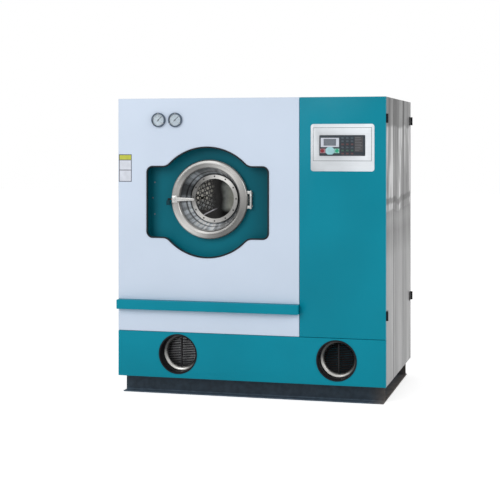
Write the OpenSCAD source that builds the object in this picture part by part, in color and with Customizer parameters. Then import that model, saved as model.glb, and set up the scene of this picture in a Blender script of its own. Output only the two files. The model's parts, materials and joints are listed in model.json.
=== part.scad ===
// Closed-circuit dry cleaning machine: a sheet steel cabinet on a channel base, with a
// perforated drum behind a round glass door and a service compartment beside it.
// X runs to the right, Y to the rear, Z up; the origin is on the floor under the cabinet.

/* [Cabinet] */
// Width of the cabinet
cab_w = 1578; // [1540:2:1640]
// Depth of the cabinet
cab_d = 1045; // [1020:1:1120]
// Height of the cabinet above its base
cab_h = 1620; // [1580:1:1700]
// Centre plane of the cabinet to the joint between drum and service compartments
split_x = 297; // [280:1:310]
// Height of the kick panel
kick_h = 264; // [255:1:275]
// Kick panel to the underside of the front rail
lower_panel_h = 129; // [100:1:150]
// Height of the front rail
rail_h = 55; // [40:1:70]
// How far the front rail stands proud
rail_out = 35; // [20:1:45]
// Thickness of the sheet steel
sheet_t = 1.5; // [1:0.1:2]
// Depth of the folded edges of the panels
fold_d = 20; // [16:1:25]
// Width of the joints between panels
joint_w = 2; // [1.5:0.1:3]
// Front seam of the side panels, measured from the cabinet's middle
seam_front_y = -222; // [-260:1:-200]
// Rear seam of the side panels, measured from the cabinet's middle
seam_rear_y = 170; // [140:1:200]
// Width of the square tube in the cabinet frame
tube_w = 40; // [30:1:42]
// Wall of the square tube
tube_t = 2.5; // [2:0.1:4]

/* [Base] */
// Height of the channel base
base_h = 100; // [80:1:120]
// Side of the cabinet to the side of the base
base_in_x = 19; // [19:1:30]
// Front of the cabinet to the front of the base
base_in_y = 37.5; // [30:0.5:45]
// Width of the channel flanges
flange_w = 60; // [50:1:70]
// Thickness of the channel
channel_t = 6; // [5:0.5:8]
// Width of the middle cross member
cross_w = 100; // [80:1:120]
// Diameter of the anchor holes
anchor_d = 14; // [10:1:18]
// Anchor hole to the side edge of the base
anchor_in_x = 58; // [50:1:70]
// Anchor hole to the front or rear edge of the base
anchor_in_y = 32; // [20:1:40]

/* [Recess] */
// Centre of the drum and door, measured from the cabinet's middle
door_x = -243; // [-250:1:-238]
// Height of the drum and door centre above the base
door_z = 1035; // [1020:1:1050]
// Door centre to the centre of the recess on its left
recess_side = 4; // [0:1:8]
// Door centre to the centre of the recess below it
recess_drop = 16; // [0:1:20]
// Diameter of the round part of the recess
recess_d = 637; // [620:1:650]
// Width of the straight part of the recess
recess_w = 729; // [700:1:740]
// Height of the straight part of the recess
recess_h = 413; // [390:1:430]
// Corner radius of the recess
recess_corner = 34; // [25:1:45]
// Radius where the round and straight parts of the recess meet
recess_blend = 60; // [40:1:80]
// Depth of the recess behind the front
recess_depth = 60; // [55:1:65]
// Width of the rubber edge trim on the front face
trim_w = 6; // [4:0.5:8]
// How far the edge trim stands proud
trim_out = 3; // [2:0.5:4]

/* [Door] */
// Diameter of the door ring
ring_d = 460; // [450:1:464]
// Width of the rounded door ring
ring_w = 48; // [44:1:50]
// Height of the door ring, front to back
ring_t = 30; // [26:1:32]
// Depth of the door bowl behind the front of the ring
bowl_depth = 134; // [120:1:140]
// Diameter of the bowl's flat bottom
bowl_d = 300; // [290:1:310]
// Thickness of the door's steel
door_t = 3; // [2:0.5:4]
// Outer diameter of the window ring
window_ring_d = 284; // [280:1:290]
// Clear diameter of the window
window_d = 234; // [225:1:240]
// Thickness of the window glass
glass_t = 8; // [6:1:10]
// Diameter of the circle of window screws
screw_circle_d = 262; // [260:1:264]
// Number of window screws
screw_count = 12; // [8:1:16]
// Door gasket, thickness
gasket_t = 6; // [5:0.5:8]
// Door centre to the hinge pin
hinge_reach = 246; // [242:1:252]
// Height of the door hinge
hinge_h = 100; // [90:1:110]
// Diameter of the door hinge pin
hinge_pin_d = 8; // [6:0.5:9]
// Door centre to the latch pin
latch_reach = 205; // [202:1:208]
// Length of the latch lever beyond its pin
lever_l = 115; // [105:1:125]
// Height of the lever at its hub
lever_h = 24; // [20:1:26]
// Height of the lever at its tip
lever_tip_h = 13; // [10:1:15]
// Thickness of the lever
lever_t = 7; // [6:0.5:8]
// Diameter of the latch pin
latch_pin_d = 8; // [6:0.5:8]
// Length of the latch finger beyond its pin
finger_l = 42; // [40:1:44]

/* [Drum] */
// Inner diameter of the drum
drum_d = 720; // [700:1:730]
// Depth of the drum
drum_l = 465; // [440:1:480]
// Thickness of the drum's steel
drum_t = 2; // [1.5:0.5:3]
// Diameter of the drum's mouth
drum_mouth_d = 400; // [390:1:410]
// Diameter of the drum perforations
perf_d = 18; // [14:1:20]
// Number of perforations round the drum
perf_count = 30; // [24:1:36]
// Rows of perforations along the drum
perf_rows = 5; // [3:1:6]
// Height of the drum lifters
lifter_h = 70; // [60:1:80]
// Gap between the drum and the tub
drum_gap = 28; // [22:1:32]
// Thickness of the tub's steel
tub_t = 4; // [3:0.5:5]
// Diameter of the drum shaft
shaft_d = 55; // [50:1:60]
// Diameter of the drum pulley
drum_pulley_d = 440; // [400:1:460]
// Diameter of the motor pulley
motor_pulley_d = 80; // [70:1:90]
// Width of the drive belt and pulleys
belt_w = 30; // [25:1:35]
// Thickness of the drive belt
belt_t = 5; // [4:0.5:6]
// Diameter of the drive motor
motor_d = 180; // [160:1:190]
// Length of the drive motor
motor_l = 230; // [200:1:235]

/* [Gauges and vents] */
// Left gauge, measured from the cabinet's middle
gauge_left_x = -540; // [-545:1:-535]
// Distance between the gauges
gauge_pitch = 102; // [95:1:110]
// Top of the cabinet to the middle of the gauges
gauge_drop = 125; // [110:1:140]
// Diameter of the gauge cases
gauge_d = 84; // [80:1:90]
// How far the gauges stand proud
gauge_out = 14; // [10:1:18]
// Left vent, measured from the cabinet's middle
vent_left_x = -423; // [-440:1:-410]
// Right vent, measured from the cabinet's middle
vent_right_x = 510; // [500:1:520]
// Height of the vents above the base
vent_z = 139; // [135:1:142]
// Diameter of the vent openings
vent_d = 222; // [210:1:226]
// Outer diameter of the bell mouth in a vent
bell_d = 206; // [200:1:208]
// Clear diameter of the bell mouth
bell_bore_d = 169; // [160:1:175]
// Front of the cabinet to the bell mouth
bell_depth = 66; // [50:1:70]
// Number of louvres in a vent
louvre_count = 17; // [13:1:19]

/* [Controls] */
// Left edge of the control plate, measured from the cabinet's middle
plate_x = 363; // [350:1:370]
// Top of the cabinet to the top of the control plate
plate_drop = 152; // [140:1:170]
// Width of the control plate
plate_w = 362; // [350:1:370]
// Height of the control plate
plate_h = 266; // [250:1:275]
// Corner radius of the control plate
plate_corner = 16; // [10:1:20]
// Thickness of the control plate
plate_t = 2; // [1.5:0.5:3]
// Width of the keypad
keypad_w = 260; // [250:1:265]
// Height of the keypad
keypad_h = 116; // [110:1:120]
// Thickness of the keypad
keypad_t = 3; // [3:0.5:5]
// Width of the display
lcd_w = 71; // [65:1:75]
// Height of the display
lcd_h = 38; // [34:1:40]
// Diameter of the stop and start buttons
button_d = 18; // [16:1:20]
// Travel of the buttons
button_travel = 1.2; // [0.8:0.1:1.5]
// Clearance around the buttons
button_gap = 0.4; // [0.3:0.1:0.6]

/* [Hinges] */
// Height of the service door hinges
butt_h = 51; // [45:1:60]
// Length of the fixed hinge leaf on the side panel
butt_leaf = 48; // [40:1:55]
// Lower hinge height above the base
butt_low_z = 372; // [360:1:400]
// Top of the cabinet to the foot of the upper hinge
butt_drop = 146; // [120:1:220]
// Diameter of the service hinge pins
butt_pin_d = 5; // [4:0.5:6]

/* [Hidden] */
$fn = 96;
// Joined faces that must not share a plane are cut this much deeper.
eps = 0.5;
// Running clearance of shafts and pins, on the radius.
run_gap = 0.05;
// Free clearance between parts that move past each other.
free_gap = 0.5;

// Cabinet planes
x_right = cab_w / 2;
x_left = -x_right;
y_front = -cab_d / 2;
y_rear = cab_d / 2;
z_floor = base_h;
z_top = base_h + cab_h;
z_kick = z_floor + kick_h;
z_rail = z_kick + lower_panel_h;
z_upper = z_rail + rail_h;
base_x = x_right - base_in_x;
base_y = y_rear - base_in_y;
// Side panels stop short of the front and rear doors by this much.
corner_gap = fold_d + 4;
side_front_y = y_front + corner_gap;
side_rear_y = y_rear - corner_gap;

// Floor and frame
floor_t = 3;
z_deck = z_floor + floor_t;
frame_x = x_right - fold_d - joint_w;
frame_y = y_rear - corner_gap;
frame_top_z = z_top - fold_d - joint_w;
beam_z = z_floor + 460;
saddle_drop = 250;
saddle_front_y = y_front + 142;
saddle_rear_y = y_front + 562;
hanger_y = y_front + 632;

// Drum axis and the recess
axis_z = base_h + door_z;
recess_x = door_x - recess_side;
recess_z = axis_z - recess_drop;
pan_y = y_front + recess_depth;
pan_bore_r = ring_d / 2 - ring_w + 12;

// Door
ring_r = ring_d / 2;
ring_inner_r = ring_r - ring_w;
ring_round = 14;
ring_back_y = pan_y - gasket_t - free_gap;
ring_front_y = ring_back_y - ring_t;
bowl_y = ring_front_y + bowl_depth;
bowl_r = bowl_d / 2;
seal_t = glass_t + 4;
window_r = window_d / 2;
window_ring_t = 4;
window_ring_r = window_ring_d / 2;
glass_r = window_r + 7;
window_y = bowl_y - seal_t - window_ring_t;
screw_r = 2.5;
screw_head_r = 5;
screw_head_t = 2.5;
hinge_x = door_x + hinge_reach;
hinge_y = ring_back_y - 11;
lug_h = 16;
lug_r = 7;
latch_x = door_x - latch_reach;
saddle_plate_t = 3;
hub_r = lever_h / 2 + 3;
hub_t = 13;
hub_rear_y = ring_front_y - saddle_plate_t - free_gap;
hub_front_y = hub_rear_y - hub_t;
finger_t = 5;
finger_w = 10;
finger_y = hub_rear_y - finger_t;
keeper_x = latch_x - finger_l - 2;
keeper_y = finger_y - free_gap;
keeper_t = 4.5;

// Tub, drum and drive
tub_front_y = pan_y + 22;
drum_front_y = tub_front_y + tub_t + 20;
drum_rear_y = drum_front_y + drum_l;
drum_r = drum_d / 2 + drum_t;
tub_r = drum_r + drum_gap;
tub_outer_r = tub_r + tub_t;
hub_plate_t = 10;
tub_rear_y = drum_rear_y + hub_plate_t + 20;
bearing_y = tub_rear_y + tub_t;
bearing_l = 215;
bearing_r = 50;
bearing_w = 27;
housing_r = bearing_r + 12;
shaft_r = shaft_d / 2;
pulley_y = bearing_y + bearing_l + 15;
motor_y = pulley_y - 15 - motor_l;
motor_x = door_x - 313;
motor_foot_h = 10;
motor_shaft_r = 14;
tank_x0 = door_x - 453;
tank_x1 = split_x - 97;
tank_y0 = y_front + 122;
tank_y1 = y_rear - 142;
tank_top_z = z_deck + 317;
tank_t = 3;
pump_lift = 100;
filter_in_y = 270;
blower_z = z_top - 370;
motor_z = tank_top_z + motor_foot_h + motor_d / 2;

// Gauges, vents, controls
gauge_r = gauge_d / 2;
gauge_zc = z_top - gauge_drop;
gauge_face_y = y_front - 4;
vent_zc = z_floor + vent_z;
vent_r = vent_d / 2;
bell_y = y_front + bell_depth;
duct_rear_y = bell_y + 30;
plate_y = y_front - plate_t;
plate_z0 = z_top - plate_drop - plate_h;
keypad_x = plate_x + 50;
keypad_z = plate_z0 + 87;
keypad_y = plate_y - keypad_t;
stop_x = keypad_x + 17;
nav_x = keypad_x + 61;
start_x = keypad_x + 101;
button_z = keypad_z + 28;
butt_heights = [z_floor + butt_low_z, z_top - butt_drop];
nav_w = 50;
nav_h = 41;
cap_out = 2;
// A pressed cap stops this far short of the plate.
press_gap = 0.3;
cap_t = cap_out + keypad_t - button_travel - press_gap;
stem_r = 3;
stem_l = 16;
lcd_x = keypad_x + 25;
lcd_z = keypad_z + 57;
key_w = 14;
key_h = 9;
key_pitch_x = 27;
key_pitch_z = 17.4;
box_d = 60;
box_margin = 8;

// Service hinges
butt_x = x_right + 7;
butt_y = 7.5;
butt_knuckle_r = 6;
butt_leaf_t = 3;

steel = [0.78, 0.79, 0.80];
dark_steel = [0.20, 0.23, 0.27];
white = [0.82, 0.87, 0.93];
teal = [0.10, 0.52, 0.58];
black = [0.08, 0.08, 0.09];

// ---- Shared shapes ----

// A flat shape drawn in X and Z, as thick as the stretch from y0 to y1.
module slab_y(y0, y1) {
    translate([0, y1, 0]) rotate([90, 0, 0]) linear_extrude(y1 - y0) children();
}

// A cylinder along Y.
module rod_y(x, z, r, y0, y1) {
    translate([x, y0, z]) rotate([-90, 0, 0]) cylinder(r = r, h = y1 - y0);
}

// A cylinder along Z.
module rod_z(x, y, r, z0, z1) {
    translate([x, y, z0]) cylinder(r = r, h = z1 - z0);
}

// A box between two corners.
module box(x0, x1, y0, y1, z0, z1) {
    translate([x0, y0, z0]) cube([x1 - x0, y1 - y0, z1 - z0]);
}

// A section drawn as radius and Y, turned round an axis along Y.
module turn_y(x, z) {
    translate([x, 0, z]) rotate([-90, 0, 0]) rotate_extrude() children();
}

// A rectangle between two corners.
module rect(x0, x1, y0, y1) {
    translate([x0, y0]) square([x1 - x0, y1 - y0]);
}

// A rectangle with round corners.
module round_rect(w, h, r) {
    translate([r, 0]) square([w - 2 * r, h]);
    translate([0, r]) square([w, h - 2 * r]);
    for (x = [r, w - r], z = [r, h - r]) translate([x, z]) circle(r);
}

// A sheet panel with folded edges. Its face is at y = 0 and the edges run towards +Y.
module panel(w, h) {
    difference() {
        cube([w, fold_d, h]);
        translate([sheet_t, sheet_t, sheet_t])
            cube([w - 2 * sheet_t, fold_d, h - 2 * sheet_t]);
    }
}

// Points along an arc in n equal steps.
function arc(c, r, a0, a1, n) = [
    for (i = [0:n]) c + r * [cos(a0 + (a1 - a0) * i / n), sin(a0 + (a1 - a0) * i / n)]
];

// The recess outline about its centre, grown outwards by g: round above and below, with a
// straight part to the left and right.
function recess_half(g) =
    let (
        r = recess_d / 2 + g,
        w = recess_w / 2 + g,
        h = recess_h / 2 + g,
        c = recess_corner + g,
        f = recess_blend - g,
        rise = h + f,
        reach = sqrt(pow(r + f, 2) - pow(rise, 2)),
        a = atan2(rise, reach)
    )
    concat(
        arc([w - c, h - c], c, 0, 90, 8),
        arc([reach, rise], f, 270, 180 + a, 6),
        arc([0, 0], r, a + 2, 178 - a, 44),
        arc([-reach, rise], f, -a, -90, 6),
        arc([c - w, h - c], c, 90, 180, 8)
    );

module recess_shape(g = 0) {
    half = recess_half(g);
    polygon(concat(half, -half));
}

module at_recess(y0, y1) {
    slab_y(y0, y1) translate([recess_x, recess_z]) children();
}

// The outline of a loop stretched round two wheels, drawn just outside both circles.
function loop_points(c1, r1, c2, r2) =
    let (
        b = atan2(c2[1] - c1[1], c2[0] - c1[0]),
        a = acos((r1 - r2) / norm(c2 - c1)),
        n1 = 60,
        n2 = 30
    )
    concat(
        arc(c1, r1 / cos((180 - a) / n1), b + a, b + 360 - a, n1),
        arc(c2, r2 / cos(a / n2), b - a, b + a, n2)
    );

// ---- Base and cabinet ----

// A channel along X with its web at y = 0 and its flanges towards -Y.
module channel(l) {
    translate([0, -channel_t, 0]) cube([l, channel_t, base_h]);
    for (z = [0, base_h - channel_t])
        translate([0, -flange_w, z]) cube([l, flange_w, channel_t]);
}

module base_frame() {
    color(dark_steel) difference() {
        union() {
            translate([-base_x, -base_y + flange_w, 0]) channel(2 * base_x);
            translate([base_x, base_y - flange_w, 0]) rotate(180) channel(2 * base_x);
            for (s = [0, 180])
                rotate(s) translate([base_x - flange_w, -base_y + flange_w, 0])
                    rotate(90) channel(2 * (base_y - flange_w));
            box(-cross_w / 2, cross_w / 2, -base_y + flange_w, base_y - flange_w, 0, channel_t);
            for (x = [-cross_w / 2, cross_w / 2 - channel_t])
                box(x, x + channel_t, -base_y + flange_w, base_y - flange_w, 0, base_h);
        }
        for (x = [-1, 1] * (base_x - anchor_in_x), y = [-1, 1] * (base_y - anchor_in_y))
            rod_z(x, y, anchor_d / 2, -1, base_h / 2);
    }
}

module tube_x(x0, x1, y, z) {
    difference() {
        box(x0, x1, y, y + tube_w, z, z + tube_w);
        box(x0 - 1, x1 + 1, y + tube_t, y + tube_w - tube_t, z + tube_t, z + tube_w - tube_t);
    }
}

module tube_y(y0, y1, x, z) {
    difference() {
        box(x, x + tube_w, y0, y1, z, z + tube_w);
        box(x + tube_t, x + tube_w - tube_t, y0 - 1, y1 + 1, z + tube_t, z + tube_w - tube_t);
    }
}

module tube_z(z0, z1, x, y) {
    difference() {
        box(x, x + tube_w, y, y + tube_w, z0, z1);
        box(x + tube_t, x + tube_w - tube_t, y + tube_t, y + tube_w - tube_t, z0 - 1, z1 + 1);
    }
}

module cabinet_frame() {
    post_x = [-frame_x, split_x - tube_w / 2, frame_x - tube_w];
    rail_z = frame_top_z - tube_w;
    color(dark_steel) {
        for (x = post_x, y = [-frame_y, frame_y - tube_w]) tube_z(z_deck, rail_z, x, y);
        for (y = [-frame_y, frame_y - tube_w]) tube_x(-frame_x, frame_x, y, rail_z);
        for (x = post_x) tube_y(-frame_y + tube_w, frame_y - tube_w, x, rail_z);
        for (x = [post_x[0], post_x[1]]) tube_y(-frame_y + tube_w, frame_y - tube_w, x, beam_z);
        for (y = [saddle_front_y, saddle_rear_y])
            tube_x(-frame_x + tube_w, post_x[1], y - tube_w / 2, beam_z);
        tube_x(post_x[1] + tube_w, post_x[2], hanger_y - tube_w / 2, rail_z);
    }
}

module floor_pan() {
    color(steel) box(-frame_x, frame_x, -frame_y, frame_y, z_floor, z_deck);
}

module front_panel() {
    w = split_x - x_left - joint_w / 2;
    color(white) difference() {
        translate([x_left, y_front, z_upper]) panel(w, z_top - z_upper);
        at_recess(y_front - 1, y_front + fold_d) recess_shape();
        for (x = [gauge_left_x, gauge_left_x + gauge_pitch])
            rod_y(x, gauge_zc, gauge_r - 10, y_front - 1, y_front + fold_d);
    }
}

module front_rail() {
    w = split_x - x_left - joint_w / 2;
    color(teal) difference() {
        box(x_left, x_left + w, y_front - rail_out, y_front + fold_d, z_rail, z_upper);
        box(x_left + sheet_t, x_left + w - sheet_t, y_front - rail_out + sheet_t,
            y_front + fold_d + 1, z_rail + sheet_t, z_upper - sheet_t);
    }
}

module front_lower_panel() {
    w = split_x - x_left - joint_w / 2;
    color(white) translate([x_left, y_front, z_kick + joint_w]) panel(w, lower_panel_h - joint_w);
}

module kick_panel() {
    color(teal) difference() {
        translate([x_left, y_front, z_floor]) panel(cab_w, kick_h);
        for (x = [vent_left_x, vent_right_x])
            rod_y(x, vent_zc, vent_r, y_front - 1, y_front + fold_d);
    }
}

// One of the right side panels, between two seams.
module right_side(y0, y1) {
    color(steel) translate([x_right, y0, z_floor]) rotate(90) panel(y1 - y0, cab_h);
}

module right_side_panel_front() {
    right_side(side_front_y, seam_front_y);
}

module right_side_panel_middle() {
    right_side(seam_front_y + joint_w, seam_rear_y);
}

module right_side_panel_rear() {
    right_side(seam_rear_y + joint_w, side_rear_y);
}

module left_side_panel() {
    color(steel) translate([x_left, side_rear_y, z_floor]) rotate(-90)
        panel(side_rear_y - side_front_y, cab_h);
}

module top_panel() {
    inset = fold_d + joint_w;
    color(steel) difference() {
        box(x_left + inset, x_right - inset, side_front_y, side_rear_y, frame_top_z, z_top);
        box(x_left + inset + sheet_t, x_right - inset - sheet_t, side_front_y + sheet_t,
            side_rear_y - sheet_t, frame_top_z - 1, z_top - sheet_t);
    }
}

module rear_panel() {
    w = split_x - x_left - joint_w / 2;
    color(steel) translate([x_left + w, y_rear, z_floor]) rotate(180) panel(w, cab_h);
}

module recess_pan() {
    back = pan_y + sheet_t;
    color(teal) difference() {
        at_recess(y_front + sheet_t, back) recess_shape(sheet_t);
        at_recess(y_front, pan_y) recess_shape();
        rod_y(door_x, axis_z, pan_bore_r, pan_y - 1, back + 1);
    }
}

module recess_trim() {
    color(black) difference() {
        union() {
            at_recess(y_front - trim_out, y_front) recess_shape(trim_w / 3);
            at_recess(y_front, y_front + sheet_t) recess_shape();
        }
        at_recess(y_front - trim_out - 1, y_front + sheet_t + 1) recess_shape(-trim_w * 2 / 3);
    }
}

module fixing_screws() {
    pan_screws = [[-336, 112], [-348, 21], [-336, -74]];
    color(steel) {
        for (p = pan_screws)
            rod_y(recess_x + p[0], recess_z + p[1], 5, pan_y - 2.5, pan_y);
        for (x = [-628, 628])
            rod_y(x, z_floor - 14, 5, -base_y + flange_w - channel_t - 4,
                -base_y + flange_w - channel_t);
    }
}

// ---- Vents and gauges ----

module vent_ducts() {
    color(black) for (x = [vent_left_x, vent_right_x]) difference() {
        union() {
            rod_y(x, vent_zc, vent_r + 5, y_front - 3, y_front);
            rod_y(x, vent_zc, vent_r, y_front, duct_rear_y);
        }
        rod_y(x, vent_zc, vent_r - 3, y_front - 4, bell_y);
        rod_y(x, vent_zc, bell_d / 2, bell_y - 1, duct_rear_y + 1);
    }
}

module vent_bells() {
    r0 = bell_bore_d / 2;
    r1 = bell_d / 2;
    w = r1 - r0;
    color(steel) for (x = [vent_left_x, vent_right_x])
        turn_y(x, vent_zc) intersection() {
            rect(r0, r1, bell_y, bell_y + w);
            translate([r1, bell_y + w]) circle(w);
        }
}

module vent_grilles() {
    r = bell_bore_d / 2;
    y0 = bell_y + 4;
    pitch = bell_bore_d / louvre_count;
    color(black) for (x = [vent_left_x, vent_right_x]) intersection() {
        rod_y(x, vent_zc, r, y0, duct_rear_y);
        union() {
            box(x - 4, x + 4, y0, y0 + 14, vent_zc - r, vent_zc + r);
            for (side = [0, 1], i = [0:louvre_count - 1])
                translate([x - (1 - side) * r, y0 + 4, vent_zc - r + (i + 0.25 + side / 2) * pitch])
                    rotate([35, 0, 0]) translate([0, 0, -1]) cube([r, pitch * 0.9, 2]);
        }
    }
}

module gauge_cases() {
    color(dark_steel) for (x = [gauge_left_x, gauge_left_x + gauge_pitch]) {
        difference() {
            union() {
                rod_y(x, gauge_zc, gauge_r, y_front - gauge_out, y_front);
                rod_y(x, gauge_zc, gauge_r - 10, y_front, y_front + 30);
            }
            rod_y(x, gauge_zc, gauge_r - 4, y_front - gauge_out - 1, gauge_face_y);
        }
        rod_y(x, gauge_zc, 2, gauge_face_y - 2, gauge_face_y);
    }
}

module gauge_glasses() {
    color([0.85, 0.9, 0.95, 0.4]) for (x = [gauge_left_x, gauge_left_x + gauge_pitch])
        rod_y(x, gauge_zc, gauge_r - 4, y_front - gauge_out + 1, y_front - gauge_out + 3);
}

// A needle on its spindle, pointing up and to the right.
module gauge_needle(x) {
    y1 = gauge_face_y - 2 - run_gap;
    color(black) translate([x, 0, gauge_zc]) slab_y(y1 - 1.5, y1) rotate(-45) {
        circle(4);
        polygon([[-2, -12], [2, -12], [0.8, gauge_r - 10], [-0.8, gauge_r - 10]]);
    }
}

module gauge_needle_left() {
    gauge_needle(gauge_left_x);
}

module gauge_needle_right() {
    gauge_needle(gauge_left_x + gauge_pitch);
}

// ---- Drum door ----

// Section of the door ring, as radius and Y, with both front edges rounded.
module ring_section() {
    c = ring_round;
    rect(ring_inner_r, ring_r, ring_front_y + c, ring_back_y);
    rect(ring_inner_r + c, ring_r - c, ring_front_y, ring_back_y);
    intersection() {
        for (x = [ring_inner_r + c, ring_r - c]) translate([x, ring_front_y + c]) circle(c);
        rect(ring_inner_r, ring_r, ring_front_y, ring_back_y);
    }
}

module door_ring() {
    lip_y = ring_front_y + ring_round;
    color(steel) difference() {
        union() {
            turn_y(door_x, axis_z) ring_section();
            turn_y(door_x, axis_z) polygon([
                [ring_inner_r, lip_y],
                [ring_inner_r + door_t, lip_y],
                [bowl_r + door_t, bowl_y + door_t],
                [bowl_r, bowl_y + door_t]
            ]);
            turn_y(door_x, axis_z) rect(window_r + 4, bowl_r + eps, bowl_y, bowl_y + door_t);
        }
        window_screw_holes();
    }
}

module window_screw_holes() {
    for (i = [0:screw_count - 1]) {
        a = 360 * i / screw_count;
        rod_y(door_x + screw_circle_d / 2 * cos(a), axis_z + screw_circle_d / 2 * sin(a),
            screw_r, window_y - 1, bowl_y + door_t + 1);
    }
}

module window_ring() {
    color(steel) difference() {
        turn_y(door_x, axis_z) rect(window_r, window_ring_r, window_y, window_y + window_ring_t);
        window_screw_holes();
    }
}

module window_seal() {
    y0 = bowl_y - seal_t;
    color(black) difference() {
        turn_y(door_x, axis_z) difference() {
            rect(window_r + 2, window_ring_r + 3, y0, bowl_y);
            rect(0, glass_r, y0 + 2, y0 + 2 + glass_t);
        }
        window_screw_holes();
    }
}

module window_glass() {
    y0 = bowl_y - seal_t + 2;
    color([0.8, 0.9, 0.9, 0.35]) rod_y(door_x, axis_z, glass_r, y0, y0 + glass_t);
}

module window_screws() {
    color(steel) for (i = [0:screw_count - 1]) {
        a = 360 * i / screw_count;
        x = door_x + screw_circle_d / 2 * cos(a);
        z = axis_z + screw_circle_d / 2 * sin(a);
        rod_y(x, z, screw_r, window_y, bowl_y + door_t);
        rod_y(x, z, screw_head_r, window_y - screw_head_t, window_y);
    }
}

module door_gasket() {
    r0 = pan_bore_r;
    color(black) turn_y(door_x, axis_z) rect(r0, r0 + 26, pan_y - gasket_t, pan_y);
}

module door_hinge_arms() {
    color(steel) difference() {
        for (z = [axis_z - hinge_h / 2, axis_z + hinge_h / 2 - lug_h]) {
            box(hinge_x - 50, hinge_x, hinge_y - lug_r, hinge_y + lug_r, z, z + lug_h);
            rod_z(hinge_x, hinge_y, lug_r, z, z + lug_h);
        }
        rod_z(hinge_x, hinge_y, hinge_pin_d / 2 + run_gap, z_floor, z_top);
        turn_y(door_x, axis_z) {
            ring_section();
            rect(0, ring_inner_r + 1, ring_front_y - 5, ring_back_y);
        }
    }
}

module door_hinge_bracket() {
    z0 = axis_z - hinge_h / 2 + lug_h + free_gap;
    z1 = axis_z + hinge_h / 2 - lug_h - free_gap;
    pin_z0 = axis_z - hinge_h / 2 - 3;
    pin_z1 = axis_z + hinge_h / 2 + 3;
    color(steel) {
        rod_z(hinge_x, hinge_y, lug_r, z0, z1);
        rod_z(hinge_x, hinge_y, hinge_pin_d / 2, pin_z0, pin_z1);
        box(hinge_x - 4, hinge_x + lug_r, hinge_y, pan_y - 4, z0, z1);
        box(hinge_x - 14, hinge_x + lug_r, pan_y - 4, pan_y, z0 - 8, z1 + 8);
    }
}

// A saddle plate on the door ring with the pin that the latch turns on.
module latch_bracket() {
    y0 = ring_front_y - saddle_plate_t;
    color(steel) {
        difference() {
            box(latch_x - 17, latch_x + 14, y0, ring_front_y + 6, axis_z - 20, axis_z + 20);
            turn_y(door_x, axis_z) {
                ring_section();
                rect(0, ring_inner_r + 1, ring_front_y - 5, ring_back_y);
            }
        }
        rod_y(latch_x, axis_z, latch_pin_d / 2, hub_front_y - free_gap, y0);
        rod_y(latch_x, axis_z, latch_pin_d / 2 + 3, hub_front_y - free_gap - 2.5,
            hub_front_y - free_gap);
    }
}

// The lever on its hub, with the finger that turns in behind the keeper.
module latch_lever() {
    h0 = lever_h / 2;
    h1 = lever_tip_h / 2;
    color(steel) difference() {
        union() {
            rod_y(latch_x, axis_z, hub_r, hub_front_y, hub_rear_y);
            slab_y(hub_front_y, hub_front_y + lever_t) translate([latch_x, axis_z]) {
                polygon([[0, -h0], [lever_l, -h1], [lever_l, h1], [0, h0]]);
                translate([lever_l, 0]) circle(h1);
            }
            box(latch_x - finger_l, latch_x, finger_y, hub_rear_y, axis_z - finger_w / 2,
                axis_z + finger_w / 2);
        }
        rod_y(latch_x, axis_z, latch_pin_d / 2 + run_gap, hub_front_y - 1, hub_rear_y + 1);
    }
}

// The keeper stands on the pan below the resting finger.
module latch_keeper() {
    z1 = axis_z - finger_w / 2 - 3;
    z0 = z1 - 26;
    color(dark_steel) {
        box(keeper_x - keeper_t, keeper_x, keeper_y - keeper_t, pan_y, z0, z1);
        box(keeper_x - keeper_t, keeper_x + 16, keeper_y - keeper_t, keeper_y, z0, z1);
        box(keeper_x - 14, keeper_x, pan_y - 3, pan_y, z0, z1);
    }
}

// ---- Tub, drum and drive ----

module tub() {
    saddle_w = 560;
    saddle_z = beam_z + tube_w;
    color(steel) {
        turn_y(door_x, axis_z) {
            rect(tub_r, tub_outer_r, tub_front_y, bearing_y);
            rect(pan_bore_r + 4, tub_r + eps, tub_front_y, tub_front_y + tub_t);
            rect(pan_bore_r, pan_bore_r + 4, pan_y + sheet_t, tub_front_y + tub_t);
            rect(shaft_r + 2, tub_r + eps, tub_rear_y, bearing_y);
        }
        for (y = [saddle_front_y, saddle_rear_y]) difference() {
            box(door_x - saddle_w / 2, door_x + saddle_w / 2, y - 4, y + 4, saddle_z, axis_z - saddle_drop);
            rod_y(door_x, axis_z, tub_r + eps, y - 5, y + 5);
        }
    }
}

module bearing_housing() {
    y1 = bearing_y + bearing_l;
    color(dark_steel) difference() {
        union() {
            turn_y(door_x, axis_z) {
                rect(shaft_r + 8, 170, bearing_y, bearing_y + 12);
                rect(bearing_r, housing_r, bearing_y, y1);
            }
            for (a = [45:90:315])
                translate([door_x, bearing_y + 12 - eps, axis_z]) rotate([0, a, 0])
                    translate([housing_r - 2, 0, -5]) cube([70, bearing_l * 0.4, 10]);
        }
        rod_y(door_x, axis_z, shaft_r + 8, bearing_y - 1, y1 + 1);
        rod_y(door_x, axis_z, bearing_r, bearing_y + 12, y1 + 1);
    }
}

module bearings() {
    y1 = bearing_y + bearing_l;
    color(steel) for (y = [bearing_y + 12, y1 - bearing_w])
        turn_y(door_x, axis_z) rect(shaft_r + run_gap, bearing_r, y, y + bearing_w);
}

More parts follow.
